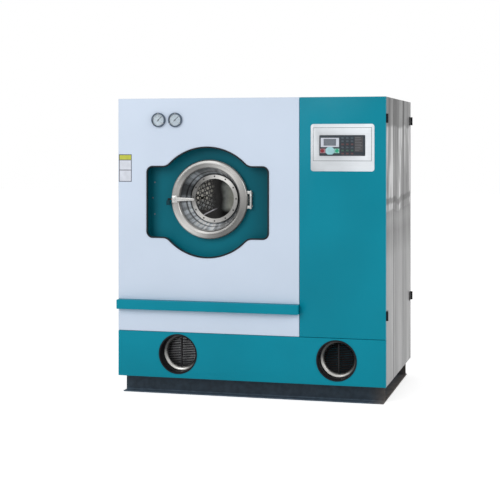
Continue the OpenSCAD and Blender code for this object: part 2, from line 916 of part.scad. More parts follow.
module drum() {
    pitch = drum_l / (perf_rows + 1);
    color(steel) difference() {
        turn_y(door_x, axis_z) {
            rect(drum_r - drum_t, drum_r, drum_front_y, drum_rear_y);
            rect(drum_mouth_d / 2, drum_r - drum_t + eps, drum_front_y, drum_front_y + drum_t);
            rect(0, drum_r, drum_rear_y, drum_rear_y + drum_t);
        }
        for (row = [1:perf_rows], i = [0:perf_count - 1])
            translate([door_x, drum_front_y + row * pitch, axis_z])
                rotate([0, (i + (row % 2) / 2) * 360 / perf_count, 0])
                    translate([drum_r - 12, 0, 0]) rotate([0, 90, 0]) cylinder(d = perf_d, h = 24);
        for (ring = [1:4])
            for (i = [0:6 * ring - 1])
                rod_y(door_x + 48 * ring * cos(60 * i / ring),
                    axis_z + 48 * ring * sin(60 * i / ring),
                    perf_d / 2, drum_rear_y - 1, drum_rear_y + drum_t + 1);
    }
}

module drum_lifters() {
    r = drum_d / 2;
    color(steel) for (a = [30, 150, 270])
        translate([door_x, 0, axis_z]) rotate([0, a, 0])
            slab_y(drum_front_y + drum_t + 4, drum_rear_y - 4) intersection() {
                circle(r);
                polygon([
                    [r + 5, -60], [r - 14, -45], [r - lifter_h, -12], [r - lifter_h, 12],
                    [r - 14, 45], [r + 5, 60]
                ]);
            }
}

module drum_shaft() {
    y0 = drum_rear_y + drum_t;
    color(steel) {
        rod_y(door_x, axis_z, 22, y0, y0 + hub_plate_t);
        difference() {
            rod_y(door_x, axis_z, 130, y0, y0 + hub_plate_t);
            rod_y(door_x, axis_z, 22, y0 - 1, y0 + hub_plate_t + 1);
        }
        rod_y(door_x, axis_z, shaft_r, y0, pulley_y + belt_w + 6);
    }
}

module drum_pulley() {
    r = drum_pulley_d / 2;
    color(dark_steel) turn_y(door_x, axis_z) {
        rect(r - 14, r, pulley_y, pulley_y + belt_w);
        rect(shaft_r, r - 10, pulley_y + belt_w / 2 - 4, pulley_y + belt_w / 2 + 4);
        rect(shaft_r, shaft_r + 18, pulley_y - 4, pulley_y + belt_w + 2);
    }
}

module drive_belt() {
    c1 = [door_x, axis_z];
    c2 = [motor_x, motor_z];
    r1 = drum_pulley_d / 2 + run_gap;
    r2 = motor_pulley_d / 2 + run_gap;
    color(black) slab_y(pulley_y + 2, pulley_y + belt_w - 2) difference() {
        polygon(loop_points(c1, r1 + belt_t, c2, r2 + belt_t));
        polygon(loop_points(c1, r1, c2, r2));
    }
}

module drive_motor() {
    r = motor_d / 2;
    fins = 20;
    color(teal) difference() {
        union() {
            rod_y(motor_x, motor_z, r - 8, motor_y, motor_y + motor_l);
            for (i = [0:fins - 1])
                translate([motor_x, motor_y + 30, motor_z]) rotate([0, (i + 0.3) * 360 / fins, 0])
                    translate([r - 14, 0, -2]) cube([14, motor_l - 60, 4]);
            box(motor_x - 70, motor_x + 70, motor_y + 40, motor_y + motor_l - 40,
                tank_top_z, motor_z - r + 16);
        }
        rod_y(motor_x, motor_z, motor_shaft_r + run_gap, motor_y + motor_l - 90,
            motor_y + motor_l + 1);
    }
}

module motor_pulley() {
    color(dark_steel) {
        rod_y(motor_x, motor_z, motor_shaft_r, motor_y + motor_l - 85, pulley_y + belt_w);
        rod_y(motor_x, motor_z, motor_pulley_d / 2, pulley_y, pulley_y + belt_w);
    }
}

// ---- Solvent and air ----

module solvent_tank() {
    color(steel) {
        difference() {
            box(tank_x0, tank_x1, tank_y0, tank_y1, z_deck, tank_top_z);
            box(tank_x0 + tank_t, tank_x1 - tank_t, tank_y0 + tank_t, tank_y1 - tank_t,
                z_deck + tank_t, tank_top_z - tank_t);
        }
    }
}

module button_trap() {
    w = 200;
    z1 = axis_z - tub_r * 0.9;
    y0 = saddle_front_y + 80;
    y1 = saddle_rear_y - 80;
    color(steel) difference() {
        box(door_x - w / 2, door_x + w / 2, y0, y1, tank_top_z, z1);
        box(door_x - w / 2 + tank_t, door_x + w / 2 - tank_t, y0 + tank_t, y1 - tank_t,
            tank_top_z + tank_t, axis_z - tub_outer_r - tank_t);
        rod_y(door_x, axis_z, tub_outer_r, y0 - 1, y1 + 1);
    }
}

module solvent_pump() {
    x = split_x + 190;
    y = y_front + 300;
    z = z_deck + pump_lift;
    color(teal) {
        rod_y(x, z, 62, y, y + 190);
        rod_y(x, z, 85, y - 60, y);
        rod_y(x, z, 24, y - 90, y - 60);
        rod_z(x, y - 30, 22, z, z + 150);
        box(x - 60, x + 60, y - 40, y + 170, z_deck, z - 40);
    }
}

module filter_housing() {
    x = split_x + 250;
    y = y_rear - filter_in_y;
    r = 150;
    z1 = z_deck + 780;
    color(steel) {
        translate([x, y, 0]) rotate_extrude() difference() {
            union() {
                rect(0, r, z_deck + 60, z1);
                rect(0, r + 18, z1, z1 + 14);
                rect(0, r + 18, z1 + 15, z1 + 29);
                rect(0, r - 20, z1 + 14, z1 + 60);
            }
            rect(0, r - 4, z_deck + 64, z1 + 26);
        }
        for (a = [45:90:315])
            translate([x + 110 * cos(a), y + 110 * sin(a), z_deck]) cylinder(r = 14, h = 62);
    }
}

module blower_housing() {
    x = split_x + 243;
    z = blower_z;
    y = hanger_y - 90;
    color(teal) {
        difference() {
            union() {
                rod_y(x, z, 175, y, y + 140);
                box(x, x + 175, y, y + 140, z, z + 215);
            }
            rod_y(x, z, 165, y + 5, y + 135);
            box(x, x + 170, y + 5, y + 135, z, z + 216);
            rod_y(x, z, 80, y - 1, y + 6);
            rod_y(x, z, 12, y + 130, y + 141);
        }
        difference() {
            rod_y(x, z, 70, y + 140, y + 280);
            rod_y(x, z, 10 + run_gap, y + 139, y + 200);
        }
        box(x - 60, x - 20, hanger_y - tube_w / 2, hanger_y + tube_w / 2, z + 166,
            frame_top_z - tube_w);
    }
}

module blower_impeller() {
    x = split_x + 243;
    z = blower_z;
    y = hanger_y - 90;
    blades = 20;
    color(steel) {
        rod_y(x, z, 10, y + 50, y + 195);
        rod_y(x, z, 120, y + 110, y + 116);
        turn_y(x, z) rect(95, 120, y + 20, y + 24);
        for (i = [0:blades - 1])
            translate([x, y + 22, z]) rotate([0, i * 360 / blades, 0])
                translate([98, 0, -1]) cube([21, 90, 2]);
    }
}

// ---- Service doors and controls ----

// Two butt hinges on the right side, for a door at the front or, mirrored, at the rear.
module butt_fixed(z) {
    third = butt_h / 3;
    translate([0, y_front, z]) difference() {
        union() {
            box(x_right, x_right + butt_leaf_t, corner_gap, corner_gap + butt_leaf, 0, butt_h);
            box(x_right, x_right + butt_leaf_t, butt_y, corner_gap + 1, third + free_gap / 2,
                2 * third - free_gap / 2);
            box(x_right, butt_x, butt_y + butt_knuckle_r - butt_leaf_t - 1, butt_y + butt_knuckle_r,
                third + free_gap / 2, 2 * third - free_gap / 2);
            rod_z(butt_x, butt_y, butt_knuckle_r, third + free_gap / 2, 2 * third - free_gap / 2);
            rod_z(butt_x, butt_y, butt_pin_d / 2, 0, butt_h);
        }
    }
}

module butt_moving(z) {
    third = butt_h / 3;
    translate([0, y_front, z]) difference() {
        for (z0 = [0, 2 * third]) {
            rod_z(butt_x, butt_y, butt_knuckle_r, z0, z0 + third);
            box(x_right, x_right + butt_leaf_t, 1, fold_d - 1, z0, z0 + third);
            box(x_right, butt_x, butt_y - butt_knuckle_r, butt_y - butt_knuckle_r + butt_leaf_t + 1,
                z0, z0 + third);
        }
        rod_z(butt_x, butt_y, butt_pin_d / 2 + run_gap, -1, butt_h + 1);
    }
}

module service_hinges() {
    color(black) for (z = butt_heights) {
        butt_fixed(z);
        mirror([0, 1, 0]) butt_fixed(z);
    }
}

module service_door() {
    x0 = split_x + joint_w / 2;
    color(teal) {
        difference() {
            translate([x0, y_front, z_kick + joint_w])
                panel(x_right - x0, z_top - z_kick - joint_w);
            box(keypad_x + 8, keypad_x + keypad_w - 8, y_front - 1, y_front + 5,
                keypad_z + 8, keypad_z + keypad_h - 8);
            for (z = butt_heights)
                butt_fixed(z);
        }
        for (z = butt_heights) butt_moving(z);
    }
}

module rear_door() {
    x0 = split_x + joint_w / 2;
    color(steel) mirror([0, 1, 0]) {
        translate([x0, y_front, z_floor]) panel(x_right - x0, cab_h);
        for (z = butt_heights) butt_moving(z);
    }
}

module control_plate() {
    color(steel) difference() {
        slab_y(plate_y, y_front) translate([plate_x, plate_z0])
            round_rect(plate_w, plate_h, plate_corner);
        box(keypad_x + 8, keypad_x + keypad_w - 8, plate_y - 1, y_front + 1,
            keypad_z + 8, keypad_z + keypad_h - 8);
    }
}

module nav_shape(g) {
    w = nav_w / 2 + g;
    h = nav_h / 2 + g;
    polygon([
        [-w, -h / 2], [-w / 2, -h], [w / 2, -h], [w, -h / 2],
        [w, h / 2], [w / 2, h], [-w / 2, h], [-w, h / 2]
    ]);
}

module keypad() {
    color(black) difference() {
        union() {
            slab_y(keypad_y, plate_y) translate([keypad_x, keypad_z])
                round_rect(keypad_w, keypad_h, 4);
            for (col = [0:2], row = [0:5])
                translate([keypad_x + 126 + col * key_pitch_x, keypad_y - 0.6,
                    keypad_z + 8 + row * key_pitch_z]) cube([key_w, 1, key_h]);
        }
        for (x = [stop_x, start_x])
            rod_y(x, button_z, button_d / 2 + button_gap, keypad_y - 1, plate_y + 1);
        slab_y(keypad_y - 1, plate_y + 1) translate([nav_x, button_z]) nav_shape(button_gap);
        box(lcd_x, lcd_x + lcd_w, keypad_y - 1, keypad_y + 1.5, lcd_z, lcd_z + lcd_h);
    }
}

module display_window() {
    color([0.42, 0.45, 0.49])
        box(lcd_x, lcd_x + lcd_w, keypad_y + 0.5, keypad_y + 1.5, lcd_z, lcd_z + lcd_h);
}

module controller_box() {
    y0 = y_front + sheet_t;
    color(black) difference() {
        box(keypad_x - box_margin, keypad_x + keypad_w + box_margin, y0, y0 + box_d,
            keypad_z - box_margin, keypad_z + keypad_h + box_margin);
        box(keypad_x - box_margin + 3, keypad_x + keypad_w + box_margin - 3, y0 + 3,
            y0 + box_d - 3, keypad_z - box_margin + 3, keypad_z + keypad_h + box_margin - 3);
        for (x = [stop_x, nav_x, start_x])
            rod_y(x, button_z, stem_r + button_gap, y0 - 1, y0 + 4);
    }
}

module button_stem(x) {
    y0 = keypad_y - cap_out + cap_t;
    rod_y(x, button_z, stem_r, y0, y0 + stem_l);
}

module round_button(x) {
    y0 = keypad_y - cap_out;
    rod_y(x, button_z, button_d / 2, y0, y0 + cap_t);
    button_stem(x);
}

module stop_button() {
    color("firebrick") round_button(stop_x);
}

module start_button() {
    color("seagreen") round_button(start_x);
}

module nav_button() {
    y0 = keypad_y - cap_out;
    color([0.6, 0.8, 0.82]) {
        slab_y(y0, y0 + cap_t) translate([nav_x, button_z]) nav_shape(0);
        button_stem(nav_x);
    }
}

base_frame();
cabinet_frame();
floor_pan();
front_panel();
front_rail();
front_lower_panel();
kick_panel();
right_side_panel_front();
right_side_panel_middle();
right_side_panel_rear();
left_side_panel();
top_panel();
rear_panel();
recess_pan();
recess_trim();
fixing_screws();
vent_ducts();
vent_bells();
vent_grilles();
gauge_cases();
gauge_glasses();
gauge_needle_left();
gauge_needle_right();
door_gasket();
door_hinge_bracket();
latch_keeper();
tub();
bearing_housing();
bearings();
drive_motor();
motor_pulley();
drive_belt();
solvent_tank();
solvent_pump();
filter_housing();
button_trap();
blower_housing();
blower_impeller();
service_hinges();
door_ring();
window_ring();
window_seal();
window_glass();
window_screws();
door_hinge_arms();
latch_bracket();
latch_lever();
drum();
drum_lifters();
drum_shaft();
drum_pulley();
service_door();
rear_door();
control_plate();
keypad();
controller_box();
display_window();
stop_button();
start_button();
nav_button();
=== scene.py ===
"""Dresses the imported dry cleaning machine: rounded sheet steel, door, drum, gauges, vents and controls."""

import json
import math

import bpy
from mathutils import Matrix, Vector

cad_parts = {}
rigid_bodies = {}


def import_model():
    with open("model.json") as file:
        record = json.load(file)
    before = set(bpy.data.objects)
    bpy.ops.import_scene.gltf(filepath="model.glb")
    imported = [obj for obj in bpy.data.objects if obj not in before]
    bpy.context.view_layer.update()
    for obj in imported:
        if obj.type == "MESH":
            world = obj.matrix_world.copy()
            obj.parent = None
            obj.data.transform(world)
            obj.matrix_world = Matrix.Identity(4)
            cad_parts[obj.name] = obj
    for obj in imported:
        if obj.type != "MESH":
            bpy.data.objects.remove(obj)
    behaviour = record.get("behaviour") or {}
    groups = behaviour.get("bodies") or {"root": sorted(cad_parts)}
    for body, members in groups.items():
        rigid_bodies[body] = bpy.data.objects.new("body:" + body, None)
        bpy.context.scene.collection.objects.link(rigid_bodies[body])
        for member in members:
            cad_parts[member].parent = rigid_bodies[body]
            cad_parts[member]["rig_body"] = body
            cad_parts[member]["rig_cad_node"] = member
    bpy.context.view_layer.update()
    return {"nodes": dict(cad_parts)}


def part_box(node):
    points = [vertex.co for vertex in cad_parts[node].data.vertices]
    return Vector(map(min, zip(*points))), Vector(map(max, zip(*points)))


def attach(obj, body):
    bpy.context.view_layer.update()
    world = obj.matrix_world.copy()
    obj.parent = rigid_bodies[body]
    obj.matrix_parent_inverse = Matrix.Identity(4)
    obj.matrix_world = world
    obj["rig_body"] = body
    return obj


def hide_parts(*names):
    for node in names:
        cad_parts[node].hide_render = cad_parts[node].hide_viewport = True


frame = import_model()

bl_info = {
    "name": "Dry Cleaning Machine",
    "version": (1, 0, 0),
    "blender": (4, 5, 0),
    "location": "View3D > Sidebar > Machine",
    "description": "Models and finishes a dry cleaning machine round its packed frame",
    "category": "Object",
}

MM = 0.001
TOUCH = 0.01 * MM  # points nearer than this count as one place
MERGE = 0.001 * MM  # vertices nearer than this are merged
PRINT = 0.2 * MM  # height of a printed line above its plate


# ---- Settings ----


def colour_setting(name, description, value):
    return bpy.props.FloatVectorProperty(
        name=name, description=description, subtype="COLOR", size=3, min=0, max=1, default=value
    )


def length_setting(name, description, value):
    return bpy.props.FloatProperty(
        name=name, description=description, subtype="DISTANCE", unit="LENGTH", min=0, default=value
    )


class MachineColours(bpy.types.PropertyGroup):
    """Colours of the machine's finishes, as scene-linear values"""

    white: colour_setting("White", "Upper and lower front panels", (0.61, 0.695, 0.82))
    teal: colour_setting("Teal", "Service door, rail and kick panel", (0.002, 0.236, 0.325))
    recess: colour_setting("Recess", "Pan behind the drum door", (0.001, 0.132, 0.180))
    base: colour_setting("Base", "Channel base and frame", (0.040, 0.058, 0.078))
    steel: colour_setting("Sheet steel", "Tint of the stainless side panels", (0.85, 0.85, 0.86))
    polish: colour_setting("Polish", "Tint of the spun door and the window ring", (0.93, 0.915, 0.885))
    rubber: colour_setting("Rubber", "Edge trim, seals and gasket", (0.010, 0.012, 0.014))
    keypad: colour_setting("Keypad", "Film of the keypad", (0.040, 0.050, 0.060))
    display: colour_setting("Display", "Face of the display", (0.150, 0.170, 0.200))
    plate: colour_setting("Plate", "Control plate", (0.62, 0.65, 0.68))
    card: colour_setting("Card", "Head of the service card", (0.53, 0.55, 0.08))


class MachineSizes(bpy.types.PropertyGroup):
    """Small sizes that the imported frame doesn't give"""

    sheet: length_setting("Sheet", "Thickness of the sheet steel", 1.5 * MM)
    fold: length_setting("Fold radius", "Outer radius of the panels' folds", 3 * MM)
    edge: length_setting("Edge radius", "Radius of machined edges", 0.8 * MM)
    hole: length_setting("Perforation", "Diameter of the drum perforations", 17 * MM)
    hole_pitch: length_setting("Perforation pitch", "Distance between drum perforations", 29 * MM)
    line: length_setting("Printed line", "Width of the lines printed on plates and card", 1.2 * MM)


class MachineStudio(bpy.types.PropertyGroup):
    """Camera and lamps"""

    lens: bpy.props.FloatProperty(
        name="Lens", description="Focal length in mm", subtype="DISTANCE_CAMERA", default=92.45
    )
    turn: bpy.props.FloatProperty(
        name="Turn", description="Camera's turn to the side", subtype="ANGLE", default=math.radians(14.63)
    )
    place: bpy.props.FloatVectorProperty(
        name="Place",
        description="Camera position",
        subtype="TRANSLATION",
        size=3,
        default=(1.8598, -7.6124, 1.4543),
    )
    shift: bpy.props.FloatProperty(
        name="Shift", description="Vertical shift of the camera, in frame widths", default=-0.2116
    )
    sky: bpy.props.FloatProperty(name="Sky", description="Level of the light from all round", default=0.5)
    glow: bpy.props.FloatProperty(
        name="Glow", description="Whiteness added to the floor as seen", default=0.55
    )
    key: bpy.props.FloatProperty(
        name="Key", description="Power of the front lamp", subtype="POWER", default=205
    )


def colours():
    return bpy.context.scene.machine_colours


def sizes():
    return bpy.context.scene.machine_sizes


# ---- Modelling helpers ----


def mode(name):
    bpy.ops.object.mode_set(mode=name)


def deselect():
    if bpy.context.object and bpy.context.object.mode != "OBJECT":
        mode("OBJECT")
    bpy.ops.object.select_all(action="DESELECT")


def pick(piece):
    deselect()
    piece.select_set(True)
    bpy.context.view_layer.objects.active = piece


def named(piece, name):
    piece.name = name
    piece.data.name = name
    return piece


def take(name):
    """Names the primitive just added and puts its place into its mesh."""
    bpy.ops.object.transform_apply(location=True, rotation=True, scale=True)
    return named(bpy.context.object, name)


def modify(piece, kind, **settings):
    """Adds a modifier and applies it."""
    pick(piece)
    modifier = piece.modifiers.new(kind.title(), kind)
    for key, value in settings.items():
        setattr(modifier, key, value)
    bpy.ops.object.modifier_apply(modifier=modifier.name)
    return piece


def smooth(piece, angle=30):
    pick(piece)
    bpy.ops.object.shade_smooth_by_angle(angle=math.radians(angle))
    return piece


def soften(piece, width, segments=3, angle=35):
    """Rounds the edges that are sharper than an angle."""
    limit = {"limit_method": "ANGLE", "angle_limit": math.radians(angle)}
    modify(piece, "BEVEL", width=width, segments=segments, harden_normals=False, **limit)
    return smooth(piece)


def select_edges(piece, test):
    """Selects the edges for which test(edge) is true, and stays in edit mode."""
    mode("EDIT")
    bpy.ops.mesh.select_mode(type="EDGE")
    bpy.ops.mesh.select_all(action="DESELECT")
    mode("OBJECT")
    for edge in piece.data.edges:
        edge.select = bool(test(edge))
    mode("EDIT")


def close_up(piece):
    """Merges doubles and turns all faces outwards."""
    pick(piece)
    mode("EDIT")
    bpy.ops.mesh.select_all(action="SELECT")
    bpy.ops.mesh.remove_doubles(threshold=MERGE)
    bpy.ops.mesh.normals_make_consistent(inside=False)
    mode("OBJECT")
    return piece


def block(name, low, high, radius=0.0):
    """A box between two corners with rounded edges."""
    deselect()
    low, high = Vector(low), Vector(high)
    bpy.ops.mesh.primitive_cube_add(size=1, location=(low + high) / 2, scale=high - low)
    piece = take(name)
    return soften(piece, radius) if radius else piece


def patch(name, area, front, back, radius=0.0):
    """A block over an area of the front, given in mm as left, right, low and high."""
    left, right, low, high = (value * MM for value in area)
    return block(name, (left, front, low), (right, back, high), radius)


def bar(name, spot, turn, size):
    """A box with its middle at spot, turned about the axis along Y."""
    deselect()
    bpy.ops.mesh.primitive_cube_add(size=1, location=spot, rotation=(0, turn, 0), scale=size)
    return take(name)


def frame_lines(name, area, front, width):
    """A thin printed rectangle, as four bars that stand proud of the face at front."""
    left, right, low, high = area
    edge = width / MM
    areas = (
        (left, right, low, low + edge),
        (left, right, high - edge, high),
        (left, left + edge, low, high),
        (right - edge, right, low, high),
    )
    return join(name, [patch(name + "_bar", sides, front - PRINT, front) for sides in areas])


def join(name, pieces):
    """Joins pieces into one under a new name."""
    deselect()
    for piece in pieces:
        piece.select_set(True)
    bpy.context.view_layer.objects.active = pieces[0]
    if len(pieces) > 1:
        bpy.ops.object.join()
    return named(bpy.context.object, name)


def turned(name, section, centre, steps=96, closed=True):
    """Turns a section of (radius, y) points round the axis along Y through centre."""
    deselect()
    bpy.ops.mesh.primitive_circle_add(vertices=len(section), radius=0.01, fill_type="NOTHING")
    piece = take(name)
    for vertex, (radius, y) in zip(piece.data.vertices, section):
        vertex.co = (centre.x + radius, y, centre.z)
    mode("EDIT")
    if not closed:
        ends = {0, len(section) - 1}
        select_edges(piece, lambda edge: set(edge.vertices) == ends)
        bpy.ops.mesh.delete(type="EDGE")
    bpy.ops.mesh.select_mode(type="VERT")
    bpy.ops.mesh.select_all(action="SELECT")
    bpy.ops.mesh.spin(steps=steps, angle=2 * math.pi, center=(centre.x, 0, centre.z), axis=(0, 1, 0))
    mode("OBJECT")
    return smooth(close_up(piece))


def ring_section(inner, outer, front, back):
    return [(inner, front), (outer, front), (outer, back), (inner, back)]


def arc(centre, radius, start, stop, count):
    """Points along an arc, angles in degrees."""
    angles = [math.radians(start + (stop - start) * i / count) for i in range(count + 1)]
    return [(centre[0] + radius * math.cos(a), centre[1] + radius * math.sin(a)) for a in angles]


def around(centre, radius, degrees, y):
    """The point at an angle and a distance round the axis along Y through centre."""
    a = math.radians(degrees)
    return Vector((centre.x + radius * math.cos(a), y, centre.z + radius * math.sin(a)))


def cut(piece, cutters):
    """Cuts the cutters out of the piece and deletes them."""
    for cutter in cutters:
        modify(piece, "BOOLEAN", object=cutter, operation="DIFFERENCE", solver="EXACT")
        bpy.data.objects.remove(cutter)
    return piece


def copy_node(node, name):
    """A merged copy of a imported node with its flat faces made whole."""
    pick(frame["nodes"][node])
    bpy.ops.object.duplicate()
    piece = named(bpy.context.object, name)
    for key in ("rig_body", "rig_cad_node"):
        if key in piece:
            del piece[key]
    piece.parent = None
    mode("EDIT")
    bpy.ops.mesh.customdata_custom_splitnormals_clear()
    bpy.ops.mesh.select_all(action="SELECT")
    bpy.ops.mesh.remove_doubles(threshold=MERGE)
    bpy.ops.mesh.dissolve_limited(angle_limit=math.radians(0.5))
    mode("OBJECT")
    return piece


def round_edges(piece, width, test, segments=3):
    """Bevels the edges for which test(first, second) is true."""
    pick(piece)
    points = piece.data.vertices
    select_edges(piece, lambda edge: test(*(points[i].co for i in edge.vertices)))
    bpy.ops.mesh.bevel(offset=width, segments=segments, affect="EDGES", clamp_overlap=True)
    mode("OBJECT")
    return smooth(piece, 35)


def dress(piece, body, slot, finish, *nodes):
    """Gives a finished piece its material and body, and hides the CAD nodes that it stands for. The slot is
    not used.
    """
    piece.data.materials.clear()
    piece.data.materials.append(finish)
    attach(piece, body)
    if nodes:
        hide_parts(*nodes)
    return piece


def softened(node, body, slot, finish, width, segments=3, angle=35):
    """Replaces a node by a copy of it with rounded edges."""
    piece = copy_node(node, node + "_rounded")
    soften(piece, width, segments, angle)
    return dress(piece, body, slot, finish, node)


def near(a, b):
    return abs(a - b) < TOUCH


def centre_of(node):
    low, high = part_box(node)
    return (low + high) / 2


def round_pair(node):
    """The radius of a node's two like discs, and the centres of both."""
    low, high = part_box(node)
    radius = (high.z - low.z) / 2
    middle = (low.z + high.z) / 2
    spots = {"left": (low.x + radius, 0, middle), "right": (high.x - radius, 0, middle)}
    return radius, {side: Vector(spot) for side, spot in spots.items()}


# ---- Materials ----


class Finish:
    """A node material with short calls for the nodes that the finishes share."""

    def __init__(self, name):
        self.material = bpy.data.materials.new(name)
        self.material.use_nodes = True
        self.nodes = self.material.node_tree.nodes
        self.links = self.material.node_tree.links
        self.shader = self.nodes["Principled BSDF"]
        self.place = self.add("ShaderNodeTexCoord").outputs["Object"]

    def add(self, kind, **settings):
        node = self.nodes.new(kind)
        for key, value in settings.items():
            setattr(node, key, value)
        return node

    def fill(self, node, **values):
        """Sets sockets of a node, such as from_min=0, or links them where the value is a socket."""
        for key, value in values.items():
            socket = node.inputs[key.replace("_", " ").title()]
            if isinstance(value, bpy.types.NodeSocket):
                self.links.new(value, socket)
            else:
                socket.default_value = value
        return node

    def mapped(self, place=(0, 0, 0), turn=(0, 0, 0), scale=(1, 1, 1)):
        node = self.add("ShaderNodeMapping")
        self.fill(node, vector=self.place, location=place, rotation=turn, scale=scale)
        return node.outputs["Vector"]

    def noise(self, scale, detail=3, vector=None, roughness=0.5):
        node = self.add("ShaderNodeTexNoise")
        self.fill(node, vector=vector or self.place, scale=scale, detail=detail, roughness=roughness)
        return node.outputs["Fac"]

    def stretched(self, scale, detail, roughness=0.5, place=(0, 0, 0)):
        """Noise with its own fineness along each axis."""
        return self.noise(1, detail, self.mapped(place, scale=scale), roughness)

    def noise_along(self, value, scale, detail=2):
        """Noise that changes with one value only."""
        node = self.add("ShaderNodeTexNoise", noise_dimensions="1D")
        return self.fill(node, w=value, scale=scale, detail=detail).outputs["Fac"]

    def spread(self, value, low, high, low_in=0.3, high_in=0.7):
        """Maps low_in to low and high_in to high, and clamps outside them."""
        node = self.add("ShaderNodeMapRange")
        self.fill(node, value=value, from_min=low_in, from_max=high_in, to_min=low, to_max=high)
        return node.outputs["Result"]

    def waver(self, value, amount, scale):
        """Adds noise of up to amount either way."""
        return self.plus(value, self.spread(self.noise(scale), -amount, amount))

    def ramp(self, value, stops):
        node = self.add("ShaderNodeValToRGB")
        elements = node.color_ramp.elements
        while len(elements) < len(stops):
            elements.new(0.5)
        for element, (position, colour) in zip(elements, stops):
            element.position = position
            element.color = (*colour, 1)
        self.links.new(value, node.inputs["Fac"])
        return node.outputs["Color"]

    def calc(self, operation, first, second=0.0):
        """One sum, product or the like of two sockets or plain numbers."""
        node = self.add("ShaderNodeMath", operation=operation)
        for socket, value in zip(node.inputs, (first, second)):
            if isinstance(value, (int, float)):
                socket.default_value = value
            else:
                self.links.new(value, socket)
        return node.outputs["Value"]

    def plus(self, first, second):
        return self.calc("ADD", first, second)

    def minus(self, first, second):
        return self.calc("SUBTRACT", first, second)

    def times(self, first, *others):
        for other in others:
            first = self.calc("MULTIPLY", first, other)
        return first

    def scaled(self, colour, level):
        """A plain colour times a socket."""
        node = self.add("ShaderNodeVectorMath", operation="SCALE")
        node.inputs[0].default_value = colour
        self.links.new(level, node.inputs["Scale"])
        return node.outputs["Vector"]

    def axes(self, letters):
        """Object coordinates, each as a socket."""
        node = self.fill(self.add("ShaderNodeSeparateXYZ"), vector=self.place)
        return [node.outputs[letter] for letter in letters]

    def blend(self, first, second, factor=1.0, way="MULTIPLY"):
        """Blends two colours, each a socket or three plain values."""
        node = self.add("ShaderNodeMix", data_type="RGBA", blend_type=way, clamp_result=True)
        values = (("A", first), ("B", second), ("Factor", factor))
        for key, value in values:
            if isinstance(value, bpy.types.NodeSocket):
                self.links.new(value, node.inputs[key])
            else:
                node.inputs[key].default_value = (*value, 1) if isinstance(value, tuple) else value
        return node.outputs["Result"]

    def greyed(self, tone, value, stops, factor=1.0):
        """Multiplies a tone by grey levels that follow a value."""
        return self.blend(tone, self.ramp(value, greys(stops)), factor)

    def turns(self, centre):
        """The angle round a Y axis from 0 to 1, and the distance from it."""
        flat = self.mapped(place=(-centre.x, centre.z, 0), turn=(math.radians(90), 0, 0))
        angle = self.add("ShaderNodeTexGradient", gradient_type="RADIAL")
        self.links.new(flat, angle.inputs["Vector"])
        level = self.add("ShaderNodeVectorMath", operation="MULTIPLY")
        level.inputs[1].default_value = (1, 1, 0)
        self.links.new(flat, level.inputs[0])
        reach = self.add("ShaderNodeVectorMath", operation="LENGTH")
        self.links.new(level.outputs["Vector"], reach.inputs[0])
        return angle.outputs["Fac"], reach.outputs["Value"]

    def feed(self, value, socket):
        self.links.new(value, self.shader.inputs[socket])

    def colour(self, tone):
        self.feed(tone, "Base Color")

    def uneven(self, colour, noise, low, high, start=0.3, stop=0.7):
        """Base colour that follows noise between two shades of one colour."""
        self.colour(self.ramp(noise, [(start, shade(colour, low)), (stop, shade(colour, high))]))

    def gloss(self, low, high, scale, detail=3):
        """Roughness that wanders between two levels."""
        self.feed(self.spread(self.noise(scale, detail), low, high), "Roughness")

    def bump(self, value, strength, distance=1 * MM):
        node = self.add("ShaderNodeBump")
        self.fill(node, height=value, strength=strength, distance=distance)
        self.feed(node.outputs["Normal"], "Normal")

    def grain(self, scale, strength):
        self.bump(self.noise(scale, 2), strength)

    def baked(self, low, high):
        """Orange peel and dull shine of powder paint."""
        self.gloss(low, high, 6)
        self.grain(420, 0.06)
        self.fix(specular_ior_level=0.1)
        return self.material

    def fix(self, **sockets):
        """Sets plain values, such as metallic=1 or coat_weight=0.2, on the shader."""
        for key, value in sockets.items():
            name = key.replace("_", " ").title().replace("Ior", "IOR")
            self.shader.inputs[name].default_value = value


def shade(colour, factor):
    return tuple(min(1.0, c * factor) for c in colour)


def greys(stops, tint=(1.0, 1.0, 1.0)):
    """Ramp stops from pairs of position and grey level."""
    return [(position, tuple(c * level for c in tint)) for position, level in stops]


def paint(name, colour, roughness=0.38, variation=0.05):
    """Baked powder paint: faint orange peel, slight unevenness of tone and gloss."""
    finish = Finish(name)
    finish.uneven(colour, finish.noise(2.2, 2), 1 - variation, 1 + variation, 0.35, 0.65)
    return finish.baked(roughness - 0.05, roughness + 0.06)


def pan_paint_and_shade(name, colour):
    """The recess pan's paint with painted shade: darker towards the top, the hinge side, the left edge and
    the walls near the front, where less light reaches it.
    """
    finish = Finish(name)
    x, y, z = finish.axes("XYZ")
    low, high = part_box("recess_pan")
    # Painted shade: darker towards the top, the hinge side, the left edge and the walls near the front.
    down = finish.spread(z, 1.12, 0.82, low.z + 0.1, high.z - 0.02)
    across = finish.spread(x, 1.0, 0.7, high.x - 0.2, high.x - 0.02)
    edge = finish.spread(x, 0.75, 1.0, low.x + 0.01, low.x + 0.08)
    depth = finish.spread(y, 0.12, 1.0, -0.518, -0.468)
    cloud = finish.spread(finish.noise(2.2, 2), 0.94, 1.06)
    finish.colour(finish.scaled(colour, finish.times(down, across, edge, depth, cloud)))
    return finish.baked(0.36, 0.46)


